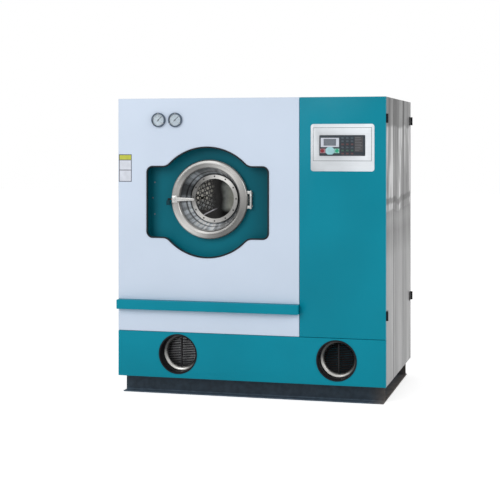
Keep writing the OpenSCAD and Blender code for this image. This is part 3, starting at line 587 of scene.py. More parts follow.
def frame_paint(name, colour):
    """The base's dark paint, mottled, greyer on the service side and paler along the foot."""
    finish = Finish(name)
    x, z = finish.axes("XZ")
    side = finish.spread(finish.waver(x, 0.01, 12), 0, 1, 0.68, 0.76)
    tone = finish.ramp(side, [(0.0, colour), (1.0, (0.085, 0.078, 0.074))])
    tone = finish.greyed(tone, finish.noise(30, 4), [(0.35, 0.8), (0.65, 1.15)])
    foot = finish.spread(z, 0, 1, 0.004, 0.018)
    finish.colour(finish.greyed(tone, foot, [(0.4, 1.9), (0.7, 1.0)]))
    finish.gloss(0.42, 0.6, 9)
    finish.grain(380, 0.08)
    finish.fix(specular_ior_level=0.15)
    return finish.material


def brushed_steel(name, light, dark, grain=(260, 260, 4), reflection_bands=(3.2, 3.2, 0.22)):
    """Brushed stainless sheet: fine grain and soft bands of painted reflection."""
    finish = Finish(name)
    middle = tuple((a + b) / 2 for a, b in zip(light, dark))
    # The bands are a painted reflection of the room.
    stops = [(0.34, dark), (0.46, middle), (0.56, light), (0.66, middle)]
    tone = finish.ramp(finish.stretched(reflection_bands, 2), stops)
    fine = finish.stretched(grain, 4)
    finish.colour(finish.greyed(tone, fine, [(0.3, 0.8), (0.7, 1.0)], 0.35))
    finish.feed(finish.spread(fine, 0.24, 0.42), "Roughness")
    finish.bump(fine, 0.05)
    finish.fix(metallic=0.8, anisotropic=0.5)
    return finish.material


# Grey levels of the painted reflection on the bent side panels: by height, over the upper part only, and at
# a seam, where a dark joint meets a painted highlight.
PANEL_SPAN = 1.9
PANEL_REFLECTION = [
    (0.0, 0.34), (0.42, 0.37), (0.455, 0.27), (0.5, 0.19), (0.535, 0.28), (0.562, 0.22),
    (0.568, 0.55), (0.583, 0.6), (0.589, 0.17), (0.602, 0.17), (0.607, 0.62), (0.7, 0.7),
    (0.815, 0.62), (0.822, 0.19), (1.0, 0.15),
]
PANEL_REFLECTED_COLUMNS = [(0.42, 0.26), (0.49, 0.38), (0.51, 1.0), (0.6, 1.12)]
PANEL_REFLECTED_STREAKS = [(0.35, 0.66), (0.5, 1.0), (0.65, 1.25)]
PANEL_REFLECTED_BLOTS = [(0.33, 0.45), (0.40, 0.7), (0.44, 1.0)]
PANEL_SEAM_JOINT_AND_HIGHLIGHT = [(0.0, 1.0), (0.2, 0.86), (0.33, 0.14), (0.45, 0.14), (0.54, 1.0), (0.66, 1.4), (1.0, 1.0)]


def bent_steel(name, tint):
    """Thin polished sheet with a painted reflection of the room, bent by its dents."""
    finish = Finish(name)
    y, z = finish.axes("YZ")
    dent = finish.stretched((3.5, 3.5, 2.5), 2)
    wave = finish.stretched((9, 9, 1.4), 3, 0.6)
    warp = finish.plus(finish.spread(dent, -0.018, 0.018), finish.spread(wave, -0.006, 0.006))
    height = finish.calc("DIVIDE", finish.plus(z, warp), PANEL_SPAN)
    upper = finish.spread(height, 0.15, 0.9, 0.555, 0.57)
    column = finish.stretched((6.5, 6.5, 0.7), 2, place=(0, 0.35, 0))
    streak = finish.stretched((60, 60, 0.8), 4, 0.6)
    blot = finish.stretched((10, 10, 3.4), 1)
    fine = finish.stretched((300, 300, 5), 4)
    # The painted reflection of the room: bands by height, columns, streaks and blots.
    tone = finish.ramp(height, greys(PANEL_REFLECTION, tint))
    tone = finish.greyed(tone, column, PANEL_REFLECTED_COLUMNS, upper)
    tone = finish.greyed(tone, streak, PANEL_REFLECTED_STREAKS, finish.spread(height, 0.2, 0.85, 0.45, 0.58))
    tone = finish.greyed(tone, blot, PANEL_REFLECTED_BLOTS, upper)
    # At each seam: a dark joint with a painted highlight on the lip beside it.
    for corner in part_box("right_side_panel_middle"):
        band = finish.spread(finish.minus(y, corner.y), 0, 1, -0.032, 0.05)
        tone = finish.greyed(tone, band, PANEL_SEAM_JOINT_AND_HIGHLIGHT)
    finish.colour(finish.greyed(tone, fine, [(0.3, 0.86), (0.7, 1.0)], 0.6))
    finish.feed(finish.spread(wave, 0.28, 0.4), "Roughness")
    finish.bump(wave, 0.08, 2 * MM)
    finish.fix(metallic=0.2, specular_ior_level=0.1)
    return finish.material


def plain_steel(name, colour=(0.5, 0.51, 0.52), roughness=0.35, metal=1.0):
    """Plain mill-finished steel with faint cloudiness and rubbed spots."""
    finish = Finish(name)
    finish.uneven(colour, finish.noise(14, 4), 0.8, 1.1)
    finish.gloss(roughness - 0.08, roughness + 0.12, 60)
    finish.grain(300, 0.04)
    finish.fix(metallic=metal)
    return finish.material


def glowing_sheet(name, colour, glow):
    """Pale sheet behind the drum's back that glows as painted light, seen bright through the perforations.
    """
    finish = Finish(name)
    cool = tuple(c * f for c, f in zip(shade(colour, 0.36), (0.85, 0.96, 1.15)))
    tone = finish.ramp(finish.noise(14), [(0.36, cool), (0.5, shade(colour, 0.7)), (0.62, colour)])
    finish.colour(tone)
    finish.feed(tone, "Emission Color")
    finish.gloss(0.4, 0.6, 60)
    finish.fix(emission_strength=glow, metallic=0.1)
    return finish.material


# Grey levels of the inlet rings' painted highlight and painted shade, from low on the left to high on the
# right.
BELL_HIGHLIGHT_TONES = [(0.0, 0.66), (0.12, 0.6), (0.24, 0.3), (0.34, 0.1), (0.5, 0.05), (0.85, 0.035), (1.0, 0.05)]


def bell_steel(name, node):
    """Polished inlet rings with a painted highlight low on the left and painted shade elsewhere."""
    finish = Finish(name)
    x, z = finish.axes("XZ")
    radius, spots = round_pair(node)
    left, right = spots["left"], spots["right"]
    side = finish.calc("GREATER_THAN", x, (left.x + right.x) / 2)
    middle = finish.plus(finish.times(side, right.x - left.x), left.x)
    across = finish.calc("DIVIDE", finish.minus(x, middle), radius)
    up = finish.calc("DIVIDE", finish.minus(z, left.z), radius)
    # Painted highlight low on the left, painted shade elsewhere.
    lean = finish.plus(finish.times(across, 0.55), finish.times(up, 0.83))
    place = finish.spread(finish.waver(lean, 0.15, 9), 0, 1, -1, 1)
    finish.colour(finish.ramp(place, greys(BELL_HIGHLIGHT_TONES, (1.0, 0.99, 0.95))))
    finish.gloss(0.25, 0.4, 40)
    finish.grain(200, 0.04)
    finish.fix(metallic=0.5)
    return finish.material


# Grey levels of the painted reflection round the door's axis, from 0 at the left over the top to 1.
RING_REFLECTION = [
    (0.0, 0.36), (0.06, 0.38), (0.12, 0.21), (0.19, 0.19), (0.25, 0.29), (0.31, 0.46),
    (0.37, 0.56), (0.44, 0.4), (0.5, 0.29), (0.56, 0.17), (0.63, 0.15), (0.69, 0.14),
    (0.75, 0.23), (0.81, 0.52), (0.87, 0.62), (0.94, 0.46), (1.0, 0.36),
]
BOWL_REFLECTION = [
    (0.0, 0.44), (0.03, 0.1), (0.08, 0.14), (0.13, 0.7), (0.19, 0.26), (0.25, 0.26),
    (0.37, 0.13), (0.44, 0.05), (0.5, 0.03), (0.57, 0.1), (0.69, 0.19), (0.75, 0.9),
    (0.81, 0.98), (0.88, 0.7), (0.94, 0.66), (1.0, 0.44),
]
CLAMP_REFLECTION = [
    (0.0, 0.24), (0.06, 0.22), (0.12, 0.16), (0.19, 0.42), (0.25, 0.8), (0.31, 0.98),
    (0.37, 0.9), (0.44, 0.47), (0.56, 0.36), (0.62, 0.32), (0.69, 0.4), (0.81, 0.63),
    (0.88, 0.66), (0.94, 0.52), (1.0, 0.24),
]
# Grey levels of the bowl's painted highlights and painted shade by the distance from the door's axis, in
# metres, over a span.
BOWL_SHADE_AND_HIGHLIGHT_STEPS = [
    (0.140, 0.5), (0.147, 0.6), (0.149, 1.3), (0.158, 1.25), (0.160, 0.3), (0.163, 0.3),
    (0.165, 1.15), (0.176, 1.0), (0.180, 0.5), (0.184, 0.35),
]
BOWL_SPAN = 0.05


def spun_steel(name, centre, reflection_tones, tint, metal=0.5, roughness=0.2, reflection_streaks=0.0, steps=None):
    """Polished steel turned on a lathe: fine rings, and a painted reflection that changes round the axis
    and, where steps are given, with the distance from it.
    """
    finish = Finish(name)
    angle, reach = finish.turns(centre)
    groove = finish.noise_along(reach, 700)
    tone = finish.ramp(angle, greys(reflection_tones, tint))
    tone = finish.greyed(tone, groove, [(0.3, 0.82), (0.7, 1.06)], 0.8)
    # Fine painted streaks of reflection round the axis.
    if reflection_streaks:
        tone = finish.greyed(tone, finish.noise_along(angle, 46, 3), [(0.35, 0.5), (0.65, 1.3)], reflection_streaks)
    # Rings of painted highlight and painted shade by the distance from the axis.
    if steps:
        start = steps[0][0]
        out = finish.spread(reach, 0, 1, start, start + BOWL_SPAN)
        tone = finish.greyed(tone, out, [((r - start) / BOWL_SPAN, level) for r, level in steps])
    finish.colour(tone)
    finish.feed(finish.spread(groove, roughness - 0.05, roughness + 0.08), "Roughness")
    finish.bump(groove, 0.05)
    finish.fix(metallic=metal)
    return finish.material


def plate_steel(name, colour):
    """Satin sheet with a painted sheen that brightens towards one side, with a fine level grain."""
    finish = Finish(name)
    (x,) = finish.axes("X")
    low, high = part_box("control_plate")
    # Painted sheen: brighter towards the right.
    across = finish.spread(finish.waver(x, 0.05, 7), 0.74, 1.18, low.x, high.x)
    grain = finish.stretched((5, 5, 420), 3)
    finish.colour(finish.scaled(colour, finish.times(across, finish.spread(grain, 0.96, 1.03))))
    finish.feed(finish.spread(grain, 0.34, 0.46), "Roughness")
    finish.bump(grain, 0.03)
    finish.fix(metallic=0.3)
    return finish.material


def rubber(name, colour):
    """Moulded black rubber with a dry, slightly dusty surface."""
    finish = Finish(name)
    dust = finish.noise(40, 4)
    finish.uneven(colour, dust, 1.0, 2.2, 0.3, 0.8)
    finish.feed(finish.spread(dust, 0.5, 0.7), "Roughness")
    finish.grain(600, 0.15)
    finish.fix(specular_ior_level=0.12)
    return finish.material


def plastic(name, colour, roughness=0.4, texture=500):
    """Moulded plastic with a fine spark texture."""
    finish = Finish(name)
    finish.uneven(colour, finish.noise(25), 0.92, 1.08)
    finish.gloss(roughness - 0.06, roughness + 0.06, 80, 2)
    finish.grain(texture, 0.08)
    finish.fix(specular_ior_level=0.15)
    return finish.material


def film(name, colour, roughness=0.35):
    """Smooth printed plastic film."""
    return plastic(name, colour, roughness, 300)


def clear_glass(name):
    """Clear glass with a trace of green and faint smears."""
    finish = Finish(name)
    finish.gloss(0.01, 0.06, 18, 4)
    finish.fix(base_color=(0.93, 0.97, 0.95, 1), transmission_weight=1.0, ior=1.45)
    return finish.material


# The window's tint from left to right (clear, then painted shade, then a painted reflection), its painted
# shadow from the bottom up, and the slope, height, left end and right end of the painted glint, as shares of
# the glass's size.
WINDOW_CLEAR_SHADE_REFLECTION = [
    (0.0, (0.95, 0.95, 0.92)), (0.36, (0.95, 0.95, 0.92)), (0.46, (0.20, 0.20, 0.19)),
    (0.53, (0.004, 0.004, 0.004)), (0.66, (0.006, 0.006, 0.006)), (0.77, (0.16, 0.17, 0.16)),
    (0.90, (0.27, 0.275, 0.24)), (1.0, (0.22, 0.22, 0.19)),
]
WINDOW_SHADOW = [(0.2, 0.03), (0.3, 1.0), (0.78, 1.0), (0.9, 0.3)]
GLINT_SLOPE, GLINT_HEIGHT, GLINT_LEFT, GLINT_RIGHT = 0.484, 0.004, (0.17, 0.2), (0.46, 0.6)


def window_glass(name):
    """The door's window: clear on the drum's side, with painted shade across the middle, a painted
    reflection opposite, painted shadow low and high, and a painted glint.
    """
    finish = Finish(name)
    x, z = finish.axes("XZ")
    low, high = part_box("window_glass")
    across = finish.spread(x, 0, 1, low.x, high.x)
    level = finish.spread(z, 0, 1, low.z, high.z)
    place = finish.waver(across, 0.04, 9)
    tone = finish.greyed(finish.ramp(place, WINDOW_CLEAR_SHADE_REFLECTION), finish.waver(level, 0.03, 14), WINDOW_SHADOW)
    tone = finish.greyed(tone, finish.noise(38, 4), [(0.35, 0.72), (0.62, 1.0)])
    # The painted glint: a thin pale line across the glass.
    away = finish.minus(finish.minus(level, finish.times(across, GLINT_SLOPE)), GLINT_HEIGHT)
    streak = finish.times(
        finish.spread(finish.calc("ABSOLUTE", away), 1, 0, 0.008, 0.02),
        finish.spread(across, 0, 1, *GLINT_LEFT),
        finish.spread(across, 1, 0, *GLINT_RIGHT),
    )
    finish.colour(finish.blend(tone, (0.42, 0.41, 0.44), streak, "MIX"))
    # Clear on the drum's side; less clear under the painted shade and reflection, and under the painted
    # glint.
    clear = finish.spread(place, 1.0, 0.1, 0.54, 0.72)
    finish.feed(finish.times(clear, finish.minus(1.0, streak)), "Transmission Weight")
    finish.gloss(0.01, 0.06, 18, 4)
    finish.fix(ior=1.35, specular_ior_level=0.03)
    return finish.material


def lcd(name, colour):
    """Display glass over rows of grey dot segments."""
    finish = Finish(name)
    shades = {"color1": colour, "color2": shade(colour, 0.82), "mortar": shade(colour, 1.15)}
    brick = finish.fill(
        finish.add("ShaderNodeTexBrick"),
        vector=finish.mapped(turn=(math.radians(-90), 0, 0)),
        scale=1,
        brick_width=5.2 * MM,
        row_height=7.2 * MM,
        mortar_size=0.6 * MM,
        **{key: (*value, 1) for key, value in shades.items()},
    )
    finish.colour(brick.outputs["Color"])
    finish.gloss(0.1, 0.18, 30, 2)
    return finish.material


class Palette:
    """Every finish of the machine, made once."""

    def __init__(self):
        c = colours()
        polish = tuple(c.polish)
        door = centre_of("door_ring")
        self.white = paint("white_paint", c.white, 0.36, 0.015)
        self.teal = paint("teal_paint", c.teal, 0.36)
        self.recess = pan_paint_and_shade("recess_paint_and_shade", tuple(c.recess))
        self.base = frame_paint("base_paint", tuple(c.base))
        self.black_paint = paint("black_paint", (0.010, 0.010, 0.012), 0.4, 0.1)
        self.keeper = paint("keeper_paint", (0.004, 0.040, 0.055), 0.45, 0.1)

        self.side = bent_steel("side_steel", tuple(c.steel))
        self.sheet = brushed_steel("sheet_steel", (0.42, 0.42, 0.43), (0.30, 0.30, 0.31))
        across = {"grain": (4, 260, 260), "reflection_bands": (0.8, 3, 3)}
        self.lid = brushed_steel("lid_steel", (0.44, 0.44, 0.45), (0.34, 0.34, 0.35), **across)
        self.plate = plate_steel("plate_steel", tuple(c.plate))
        self.plain = plain_steel("plain_steel")
        self.iron = plain_steel("cast_iron", (0.16, 0.17, 0.18), 0.55)
        self.polished = plain_steel("polished_steel", (0.47, 0.47, 0.46), 0.26, 0.8)
        # The drum's steel is near black: painted shade of the drum's inside.
        self.drum = plain_steel("drum_steel_painted_shade", (0.035, 0.034, 0.034), 0.4)
        self.lifter = plain_steel("lifter_steel", (0.22, 0.22, 0.22), 0.35)
        self.zinc = plain_steel("zinc_screw", (0.09, 0.13, 0.16), 0.6, 0.1)
        self.backing = glowing_sheet("backing_glow", (0.95, 0.92, 0.84), 0.3)
        self.bell = bell_steel("bell_steel", "vent_bells")
        self.ring = spun_steel("ring_steel", door, RING_REFLECTION, polish)
        cool = (0.93, 1.0, 1.07)
        self.bowl = spun_steel("bowl_steel", door, BOWL_REFLECTION, cool, 0.45, 0.3, 0.8, BOWL_SHADE_AND_HIGHLIGHT_STEPS)
        self.clamp = spun_steel("clamp_steel", door, CLAMP_REFLECTION, polish, 0.4)

        self.glass = clear_glass("clear_glass")
        self.pane = window_glass("window_glass")
        self.display = lcd("display_glass", tuple(c.display))
        self.rubber = rubber("black_rubber", c.rubber)
        self.black = plastic("black_plastic", (0.006, 0.006, 0.008), 0.45)
        self.slat = plastic("louvre_plastic", (0.022, 0.022, 0.024), 0.45)
        self.red = plastic("red_plastic", (0.26, 0.040, 0.050), 0.28)
        self.green = plastic("green_plastic", (0.045, 0.42, 0.24), 0.28)
        self.pale = plastic("pale_plastic", (0.36, 0.62, 0.66), 0.3)
        self.bezel = plastic("gauge_bezel", (0.085, 0.115, 0.16), 0.35)
        self.dial = plastic("dial_face", (0.70, 0.74, 0.86), 0.4)
        self.scale = plastic("dial_print", (0.24, 0.27, 0.33), 0.5)
        self.needle = plastic("needle_paint", (0.07, 0.09, 0.13), 0.5)
        self.card_head = plastic("card_head", c.card, 0.5)
        self.card_paper = plastic("card_paper", (0.66, 0.69, 0.76), 0.55)
        self.card_print = plastic("card_print", (0.085, 0.09, 0.12), 0.5)
        self.film = film("keypad_film", c.keypad, 0.3)
        self.key = film("key_film", shade(c.keypad, 1.9))
        self.key_red = film("key_red", (0.12, 0.065, 0.07))
        self.key_green = film("key_green", (0.06, 0.115, 0.09))
        self.print = film("pale_print", (0.16, 0.16, 0.17), 0.45)
        self.strip_red = film("strip_red", (0.40, 0.20, 0.23))
        self.strip_mint = film("strip_mint", (0.30, 0.66, 0.55))
        self.legend = film("legend_film", (0.07, 0.07, 0.075), 0.4)
        self.frame = film("display_frame", (0.58, 0.61, 0.68))


palette = None


# ---- Pieces ----


def show_seen(tree, plain, seen, target):
    """Uses one shader for what is seen straight, mirrored or through glass, and another for the rest."""
    nodes, links = tree.nodes, tree.links
    path = nodes.new("ShaderNodeLightPath")
    clear = path.outputs["Is Camera Ray"]
    for kind in ("Is Glossy Ray", "Is Transmission Ray"):
        most = nodes.new("ShaderNodeMath")
        most.operation = "MAXIMUM"
        links.new(clear, most.inputs[0])
        links.new(path.outputs[kind], most.inputs[1])
        clear = most.outputs["Value"]
    choice = nodes.new("ShaderNodeMixShader")
    for socket, value in zip(choice.inputs, (clear, plain, seen)):
        links.new(value, socket)
    links.new(choice.outputs["Shader"], target)


def make_studio():
    """A pale floor, light from all round, two soft lamps and the camera."""
    studio = bpy.context.scene.machine_studio
    deselect()
    bpy.ops.mesh.primitive_plane_add(size=60, location=(0, 0, 0))
    floor = take("studio_floor")
    finish = Finish("studio_floor")
    finish.colour(finish.ramp(finish.noise(3), greys([(0.3, 0.9), (0.7, 0.93)])))
    finish.fix(roughness=0.9)
    glow = finish.fill(finish.add("ShaderNodeEmission"), strength=studio.glow)
    both = finish.add("ShaderNodeAddShader")
    plain = finish.shader.outputs["BSDF"]
    finish.links.new(plain, both.inputs[0])
    finish.links.new(glow.outputs["Emission"], both.inputs[1])
    surface = finish.nodes["Material Output"].inputs["Surface"]
    show_seen(finish.material.node_tree, plain, both.outputs["Shader"], surface)
    floor.data.materials.append(finish.material)

    world = bpy.data.worlds.new("studio_world")
    bpy.context.scene.world = world
    world.use_nodes = True
    nodes = world.node_tree.nodes
    shades = []
    for node, strength in ((nodes["Background"], studio.sky), (nodes.new("ShaderNodeBackground"), 1)):
        node.inputs["Color"].default_value = (1, 1, 1, 1)
        node.inputs["Strength"].default_value = strength
        shades.append(node.outputs["Background"])
    show_seen(world.node_tree, *shades, nodes["World Output"].inputs["Surface"])

    middle = Vector((0, 0, 0.9))
    for name, spot, size, power in (
        ("front_lamp", Vector((-3.2, -6.0, 4.2)), 4.0, studio.key),
        ("side_lamp", Vector((5.5, -2.5, 3.2)), 3.0, studio.key * 0.45),
    ):
        deselect()
        aim = (middle - spot).to_track_quat("-Z", "Y").to_euler()
        bpy.ops.object.light_add(type="AREA", location=spot, rotation=aim)
        lamp = bpy.context.object
        lamp.name = name
        lamp.data.size = size
        lamp.data.energy = power

    deselect()
    bpy.ops.object.camera_add(location=studio.place, rotation=(math.pi / 2, 0, studio.turn))
    camera = bpy.context.object
    camera.name = "studio_camera"
    camera.data.lens = studio.lens
    camera.data.shift_y = studio.shift
    camera.data.clip_end = 200
    bpy.context.scene.camera = camera
    bpy.context.scene.view_settings.view_transform = "Standard"


def finish_frame():
    """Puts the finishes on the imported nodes, slot by slot."""
    by_slot = {
        "painted_white": palette.white,
        "painted_teal": palette.teal,
        "painted_dark": palette.base,
        "stainless_sheet": palette.side,
        "polished_steel": palette.polished,
        "plain_steel": palette.plain,
        "cast_iron": palette.iron,
        "black_rubber": palette.rubber,
        "black_plastic": palette.black,
        "keypad_film": palette.film,
        "clear_glass": palette.glass,
        "display": palette.display,
        "red_plastic": palette.red,
        "green_plastic": palette.green,
        "pale_plastic": palette.pale,
        "black_paint": palette.black_paint,
    }
    own = {"recess_pan": palette.recess, "control_plate": palette.plate, "fixing_screws": palette.zinc}
    for name, node in frame["nodes"].items():
        for holder in node.material_slots:
            slot = holder.material.name.split(".")[0] if holder.material else ""
            if slot not in by_slot and name not in own:
                raise RuntimeError(f"{name} has a material without a finish: {slot}")
            holder.material = own.get(name) or by_slot[slot]


def folded(node, axis, body, slot, finish):
    """Replaces a folded panel by one with rounded folds round the face that looks along axis."""
    piece = copy_node(node, node + "_sheet")
    low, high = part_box(node)
    k = next(i for i in range(3) if axis[i])
    face = high[k] if axis[k] > 0 else low[k]
    across = [i for i in range(3) if i != k]

    def at_corner(point):
        return all(near(point[i], low[i]) or near(point[i], high[i]) for i in across)

    def on_fold(a, b):
        touching = near(a[k], face) + near(b[k], face)
        for i in across:
            for limit in (low[i], high[i]):
                if touching and near(a[i], limit) and near(b[i], limit):
                    return touching == 2 or (at_corner(a) and at_corner(b))
        return False

    round_edges(piece, sizes().fold, on_fold, 4)
    return dress(piece, body, slot, finish, node)


def blacken(piece, test):
    """Paints the faces for which test(middle) is true black."""
    piece.data.materials.append(palette.black_paint)
    for face in piece.data.polygons:
        if test(face.center):
            face.material_index = 1


def make_cabinet():
    """The folded sheets of the cabinet with rounded folds, and the doors' black hinges."""
    front, rear, left, right, up = (0, -1, 0), (0, 1, 0), (-1, 0, 0), (1, 0, 0), (0, 0, 1)
    for node in ("front_panel", "front_lower_panel"):
        folded(node, front, "cabinet", "painted_white", palette.white)
    for node in ("front_rail", "kick_panel"):
        folded(node, front, "cabinet", "painted_teal", palette.teal)
    front_door = folded("service_door", front, "front_service_door", "painted_teal", palette.teal)
    for part in ("front", "middle", "rear"):
        folded(f"right_side_panel_{part}", right, "cabinet", "stainless_sheet", palette.side)
    folded("left_side_panel", left, "cabinet", "stainless_sheet", palette.sheet)
    folded("top_panel", up, "cabinet", "stainless_sheet", palette.lid)
    folded("rear_panel", rear, "cabinet", "stainless_sheet", palette.sheet)
    rear_door = folded("rear_door", rear, "rear_service_door", "stainless_sheet", palette.sheet)
    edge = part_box("service_hinges")[0].x + 0.5 * MM
    for door in (front_door, rear_door):
        blacken(door, lambda middle: middle.x > edge)
    softened("service_hinges", "cabinet", "black_paint", palette.black_paint, 1 * MM, 3, 40)


def make_recess():
    """The rubber trim round the recess's edge, swollen so that its black also stands for painted shade in
    the gap.
    """
    trim = copy_node("recess_trim", "recess_trim_bead")
    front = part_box("recess_trim")[0].y
    round_edges(trim, 1.4 * MM, lambda a, b: near(a.y, front) and near(b.y, front))
    # Swollen 1.5 mm along its normals: the extra black is painted shade in the gap round the recess.
    modify(trim, "DISPLACE", strength=1.5 * MM, mid_level=0)
    dress(trim, "cabinet", "black_rubber", palette.rubber, "recess_trim")


def make_drum_door():
    """The spun door: rounded ring and deep bowl, window with its ring, seal and screws."""
    centre = centre_of("door_ring")
    low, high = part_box("door_ring")
    front, bowl_back = low.y, high.y
    outer = (high.x - low.x) / 2
    inner = outer - 48 * MM
    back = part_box("door_gasket")[0].y - 0.5 * MM
    bead, hem, dip = 14 * MM, 3 * MM, 0.6 * MM

    ring = [(inner + 8 * MM, back), (outer - hem, back), (outer, back - hem)]
    ring += arc((outer - bead, front + bead), bead, 0, -60, 9)
    ring += [(outer - 1.3 * bead, front + dip), (outer - 24 * MM, front), (inner + 1.3 * bead, front + dip)]
    ring += arc((inner + bead, front + bead), bead, 240, 180, 9)
    ring += [(inner, back - 4 * MM), (inner + 4 * MM, back)]
    band = turned("door_ring_band", ring, centre, 144)
    dress(band, "drum_door", "polished_steel", palette.ring, "door_ring")

    rim_low, rim_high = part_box("window_ring")
    rim = (rim_high.x - rim_low.x) / 2
    wall, steps = 3 * MM, 14
    throat, throat_y = inner + 0.3 * MM, back - 8 * MM
    shelf, shelf_y = rim + 5 * MM, rim_high.y - 1 * MM
    mouth = 118 * MM
    shares = [i / steps for i in range(steps + 1)]
    slope = [(throat + (shelf - throat) * t**1.15, back + (shelf_y - back) * t) for t in shares]
    bowl = [(throat, throat_y), *slope, (shelf - 1 * MM, bowl_back - wall)]
    bowl += [(mouth, bowl_back - wall), (mouth, bowl_back), (shelf + wall, bowl_back)]
    bowl += [(radius + wall, y + 1 * MM) for radius, y in reversed(slope[1:])]
    bowl += [(throat + wall, throat_y)]
    dress(turned("door_bowl", bowl, centre, 144), "drum_door", "polished_steel", palette.bowl)

    hole = rim - 25 * MM
    section = [(hole, rim_high.y), (hole, rim_low.y + 1 * MM), (hole + 1 * MM, rim_low.y)]
    section += [(rim - 2 * MM, rim_low.y), (rim, rim_low.y + 2 * MM), (rim, rim_high.y)]
    clamp = turned("window_clamp", section, centre)
    dress(clamp, "drum_door", "polished_steel", palette.clamp, "window_ring")

    low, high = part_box("window_seal")
    glass_low, glass_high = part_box("window_glass")
    outer = (glass_high.x - glass_low.x) / 2
    gap = 0.2 * MM
    lip, seat = rim - 23 * MM, rim + 1 * MM
    section = [(lip, low.y), (seat, low.y), (seat, high.y), (lip, high.y)]
    section += [(lip, glass_high.y + gap), (outer + gap, glass_high.y + gap)]
    section += [(outer + gap, glass_low.y - gap), (lip, glass_low.y - gap)]
    seal = turned("window_gasket", section, centre)
    dress(seal, "drum_door", "black_rubber", palette.rubber, "window_seal")

    pole, edge = 0.5 * MM, 1 * MM
    section = [(pole, glass_low.y), (outer - edge, glass_low.y), (outer, glass_low.y + edge)]
    section += [(outer, glass_high.y - edge), (outer - edge, glass_high.y), (pole, glass_high.y)]
    pane = turned("window_pane", section, centre)
    dress(pane, "drum_door", "clear_glass", palette.pane, "window_glass")

    low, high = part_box("window_screws")
    circle, count = (high.x - low.x) / 2 - 5 * MM, 12
    spots = [around(centre, circle, 360 * i / count, low.y) for i in range(count)]
    heads = [socket_screw(f"window_screw_{i}", spot, 4.6 * MM, 2.5 * MM) for i, spot in enumerate(spots)]
    dress(join("window_screw_heads", heads), "drum_door", "plain_steel", palette.black, "window_screws")


def socket_screw(name, spot, radius, height):
    """A domed screw head with a cross recess, facing the front at spot."""
    pole = 0.2 * MM
    dome = ((pole, 0), (radius * 0.6, 0.15 * height), (radius * 0.9, 0.5 * height))
    section = [(r, spot.y + y) for r, y in (*dome, (radius, height), (pole, height))]
    head = turned(name, section, spot, 16)
    slot = (radius * 1.1, height, radius * 0.22)
    return cut(head, [bar(name + "_slot", spot, turn + 0.5, slot) for turn in (0, math.pi / 2)])


def make_hinge_and_latch():
    """The door's hinge lugs and bracket, and the latch with its tapered lever."""
    softened("door_hinge_arms", "drum_door", "polished_steel", palette.polished, 1.5 * MM)
    softened("door_hinge_bracket", "cabinet", "polished_steel", palette.polished, 1.5 * MM)
    softened("latch_bracket", "drum_door", "polished_steel", palette.polished, 0.8 * MM)
    softened("latch_keeper", "cabinet", "plain_steel", palette.keeper, 0.8 * MM)
    lever = softened("latch_lever", "latch", "polished_steel", palette.polished, 1.8 * MM)
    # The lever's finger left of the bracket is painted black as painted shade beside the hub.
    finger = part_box("latch_bracket")[0].x + 2 * MM
    blacken(lever, lambda middle: middle.x < finger)


def perforated(name, columns, rows, place):
    """A sheet of square tiles, each with a round hole, laid by place(column, row)."""
    half = 0.5
    sides = 12
    hole = sizes().hole / sizes().hole_pitch / 2
    deselect()
    bpy.ops.mesh.primitive_circle_add(vertices=sides, radius=hole, fill_type="NOTHING")
    tile = take(name)
    mode("EDIT")
    bpy.ops.mesh.select_mode(type="EDGE")
    bpy.ops.mesh.select_all(action="SELECT")
    bpy.ops.mesh.extrude_edges_move(TRANSFORM_OT_translate={"value": (0, 0, 0)})
    mode("OBJECT")
    for vertex in list(tile.data.vertices)[sides:]:
        vertex.co *= half / max(abs(vertex.co.x), abs(vertex.co.y))
    plain = {"use_relative_offset": False, "use_constant_offset": True}
    for count, step in ((columns, (1, 0, 0)), (rows, (0, 1, 0))):
        modify(tile, "ARRAY", count=count, constant_offset_displace=step, **plain)
    for vertex in tile.data.vertices:
        vertex.co = place(vertex.co.x + half, vertex.co.y + half)
    return close_up(tile)


def make_drum():
    """The drum of perforated sheet: shell, back of rings of holes, lifters and rolled mouth."""
    centre = centre_of("drum")
    low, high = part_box("drum")
    front, back = low.y, high.y
    radius = (high.x - low.x) / 2
    pitch = sizes().hole_pitch
    plain_edges = 40 * MM
    rows = int((back - front - plain_edges) / pitch)
    columns = int(2 * math.pi * radius / pitch)
    margin = (back - front - rows * pitch) / 2

    def at(share, reach, y):
        """A point at a share of a whole turn from the bottom."""
        a = 2 * math.pi * share
        return (centre.x + reach * math.sin(a), y, centre.z - reach * math.cos(a))

    def on_shell(column, row):
        return at(column / columns, radius, front + margin + row * pitch)

    parts = [perforated("drum_shell", columns, rows, on_shell)]
    rings = range(2, int(radius / pitch + 0.5))
    for ring in rings:

        def on_back(column, row, ring=ring):
            return at(column / (6 * ring), (ring - 0.5 + row) * pitch, back)

        parts.append(perforated(f"drum_back_{ring}", 6 * ring, 1, on_back))
    rim = (rings[-1] + 0.5) * pitch
    corner = [(rim, back), (radius, back), (radius, back - margin)]
    parts.append(turned("drum_rims", corner, centre, closed=False))
    mouth, roll, bend = 200 * MM, 5 * MM, 6 * MM
    lip = [(radius, front + margin), (radius, front + bend), (radius - bend, front)]
    lip += arc((mouth + roll, front + roll), roll, 270, 90, 8)
    parts.append(turned("drum_mouth", lip, centre, closed=False))
    hub = [(0.5 * MM, back - 8 * MM), (46 * MM, back - 8 * MM), (52 * MM, back)]
    parts.append(turned("drum_hub", hub, centre, 64, closed=False))
    drum = close_up(join("drum_sheet", parts))
    modify(drum, "SOLIDIFY", thickness=2 * MM, offset=-1)
    dress(smooth(drum), "drum_assembly", "plain_steel", palette.drum, "drum")
    softened("drum_lifters", "drum_assembly", "plain_steel", palette.lifter, 6 * MM, 4)
    # A disc behind the drum's back that glows: painted light seen through the holes.
    disc = ring_section(132 * MM, radius - 20 * MM, back + 2.5 * MM, back + 3.5 * MM)
    dress(turned("drum_backing", disc, centre), "drum_assembly", "plain_steel", palette.backing)


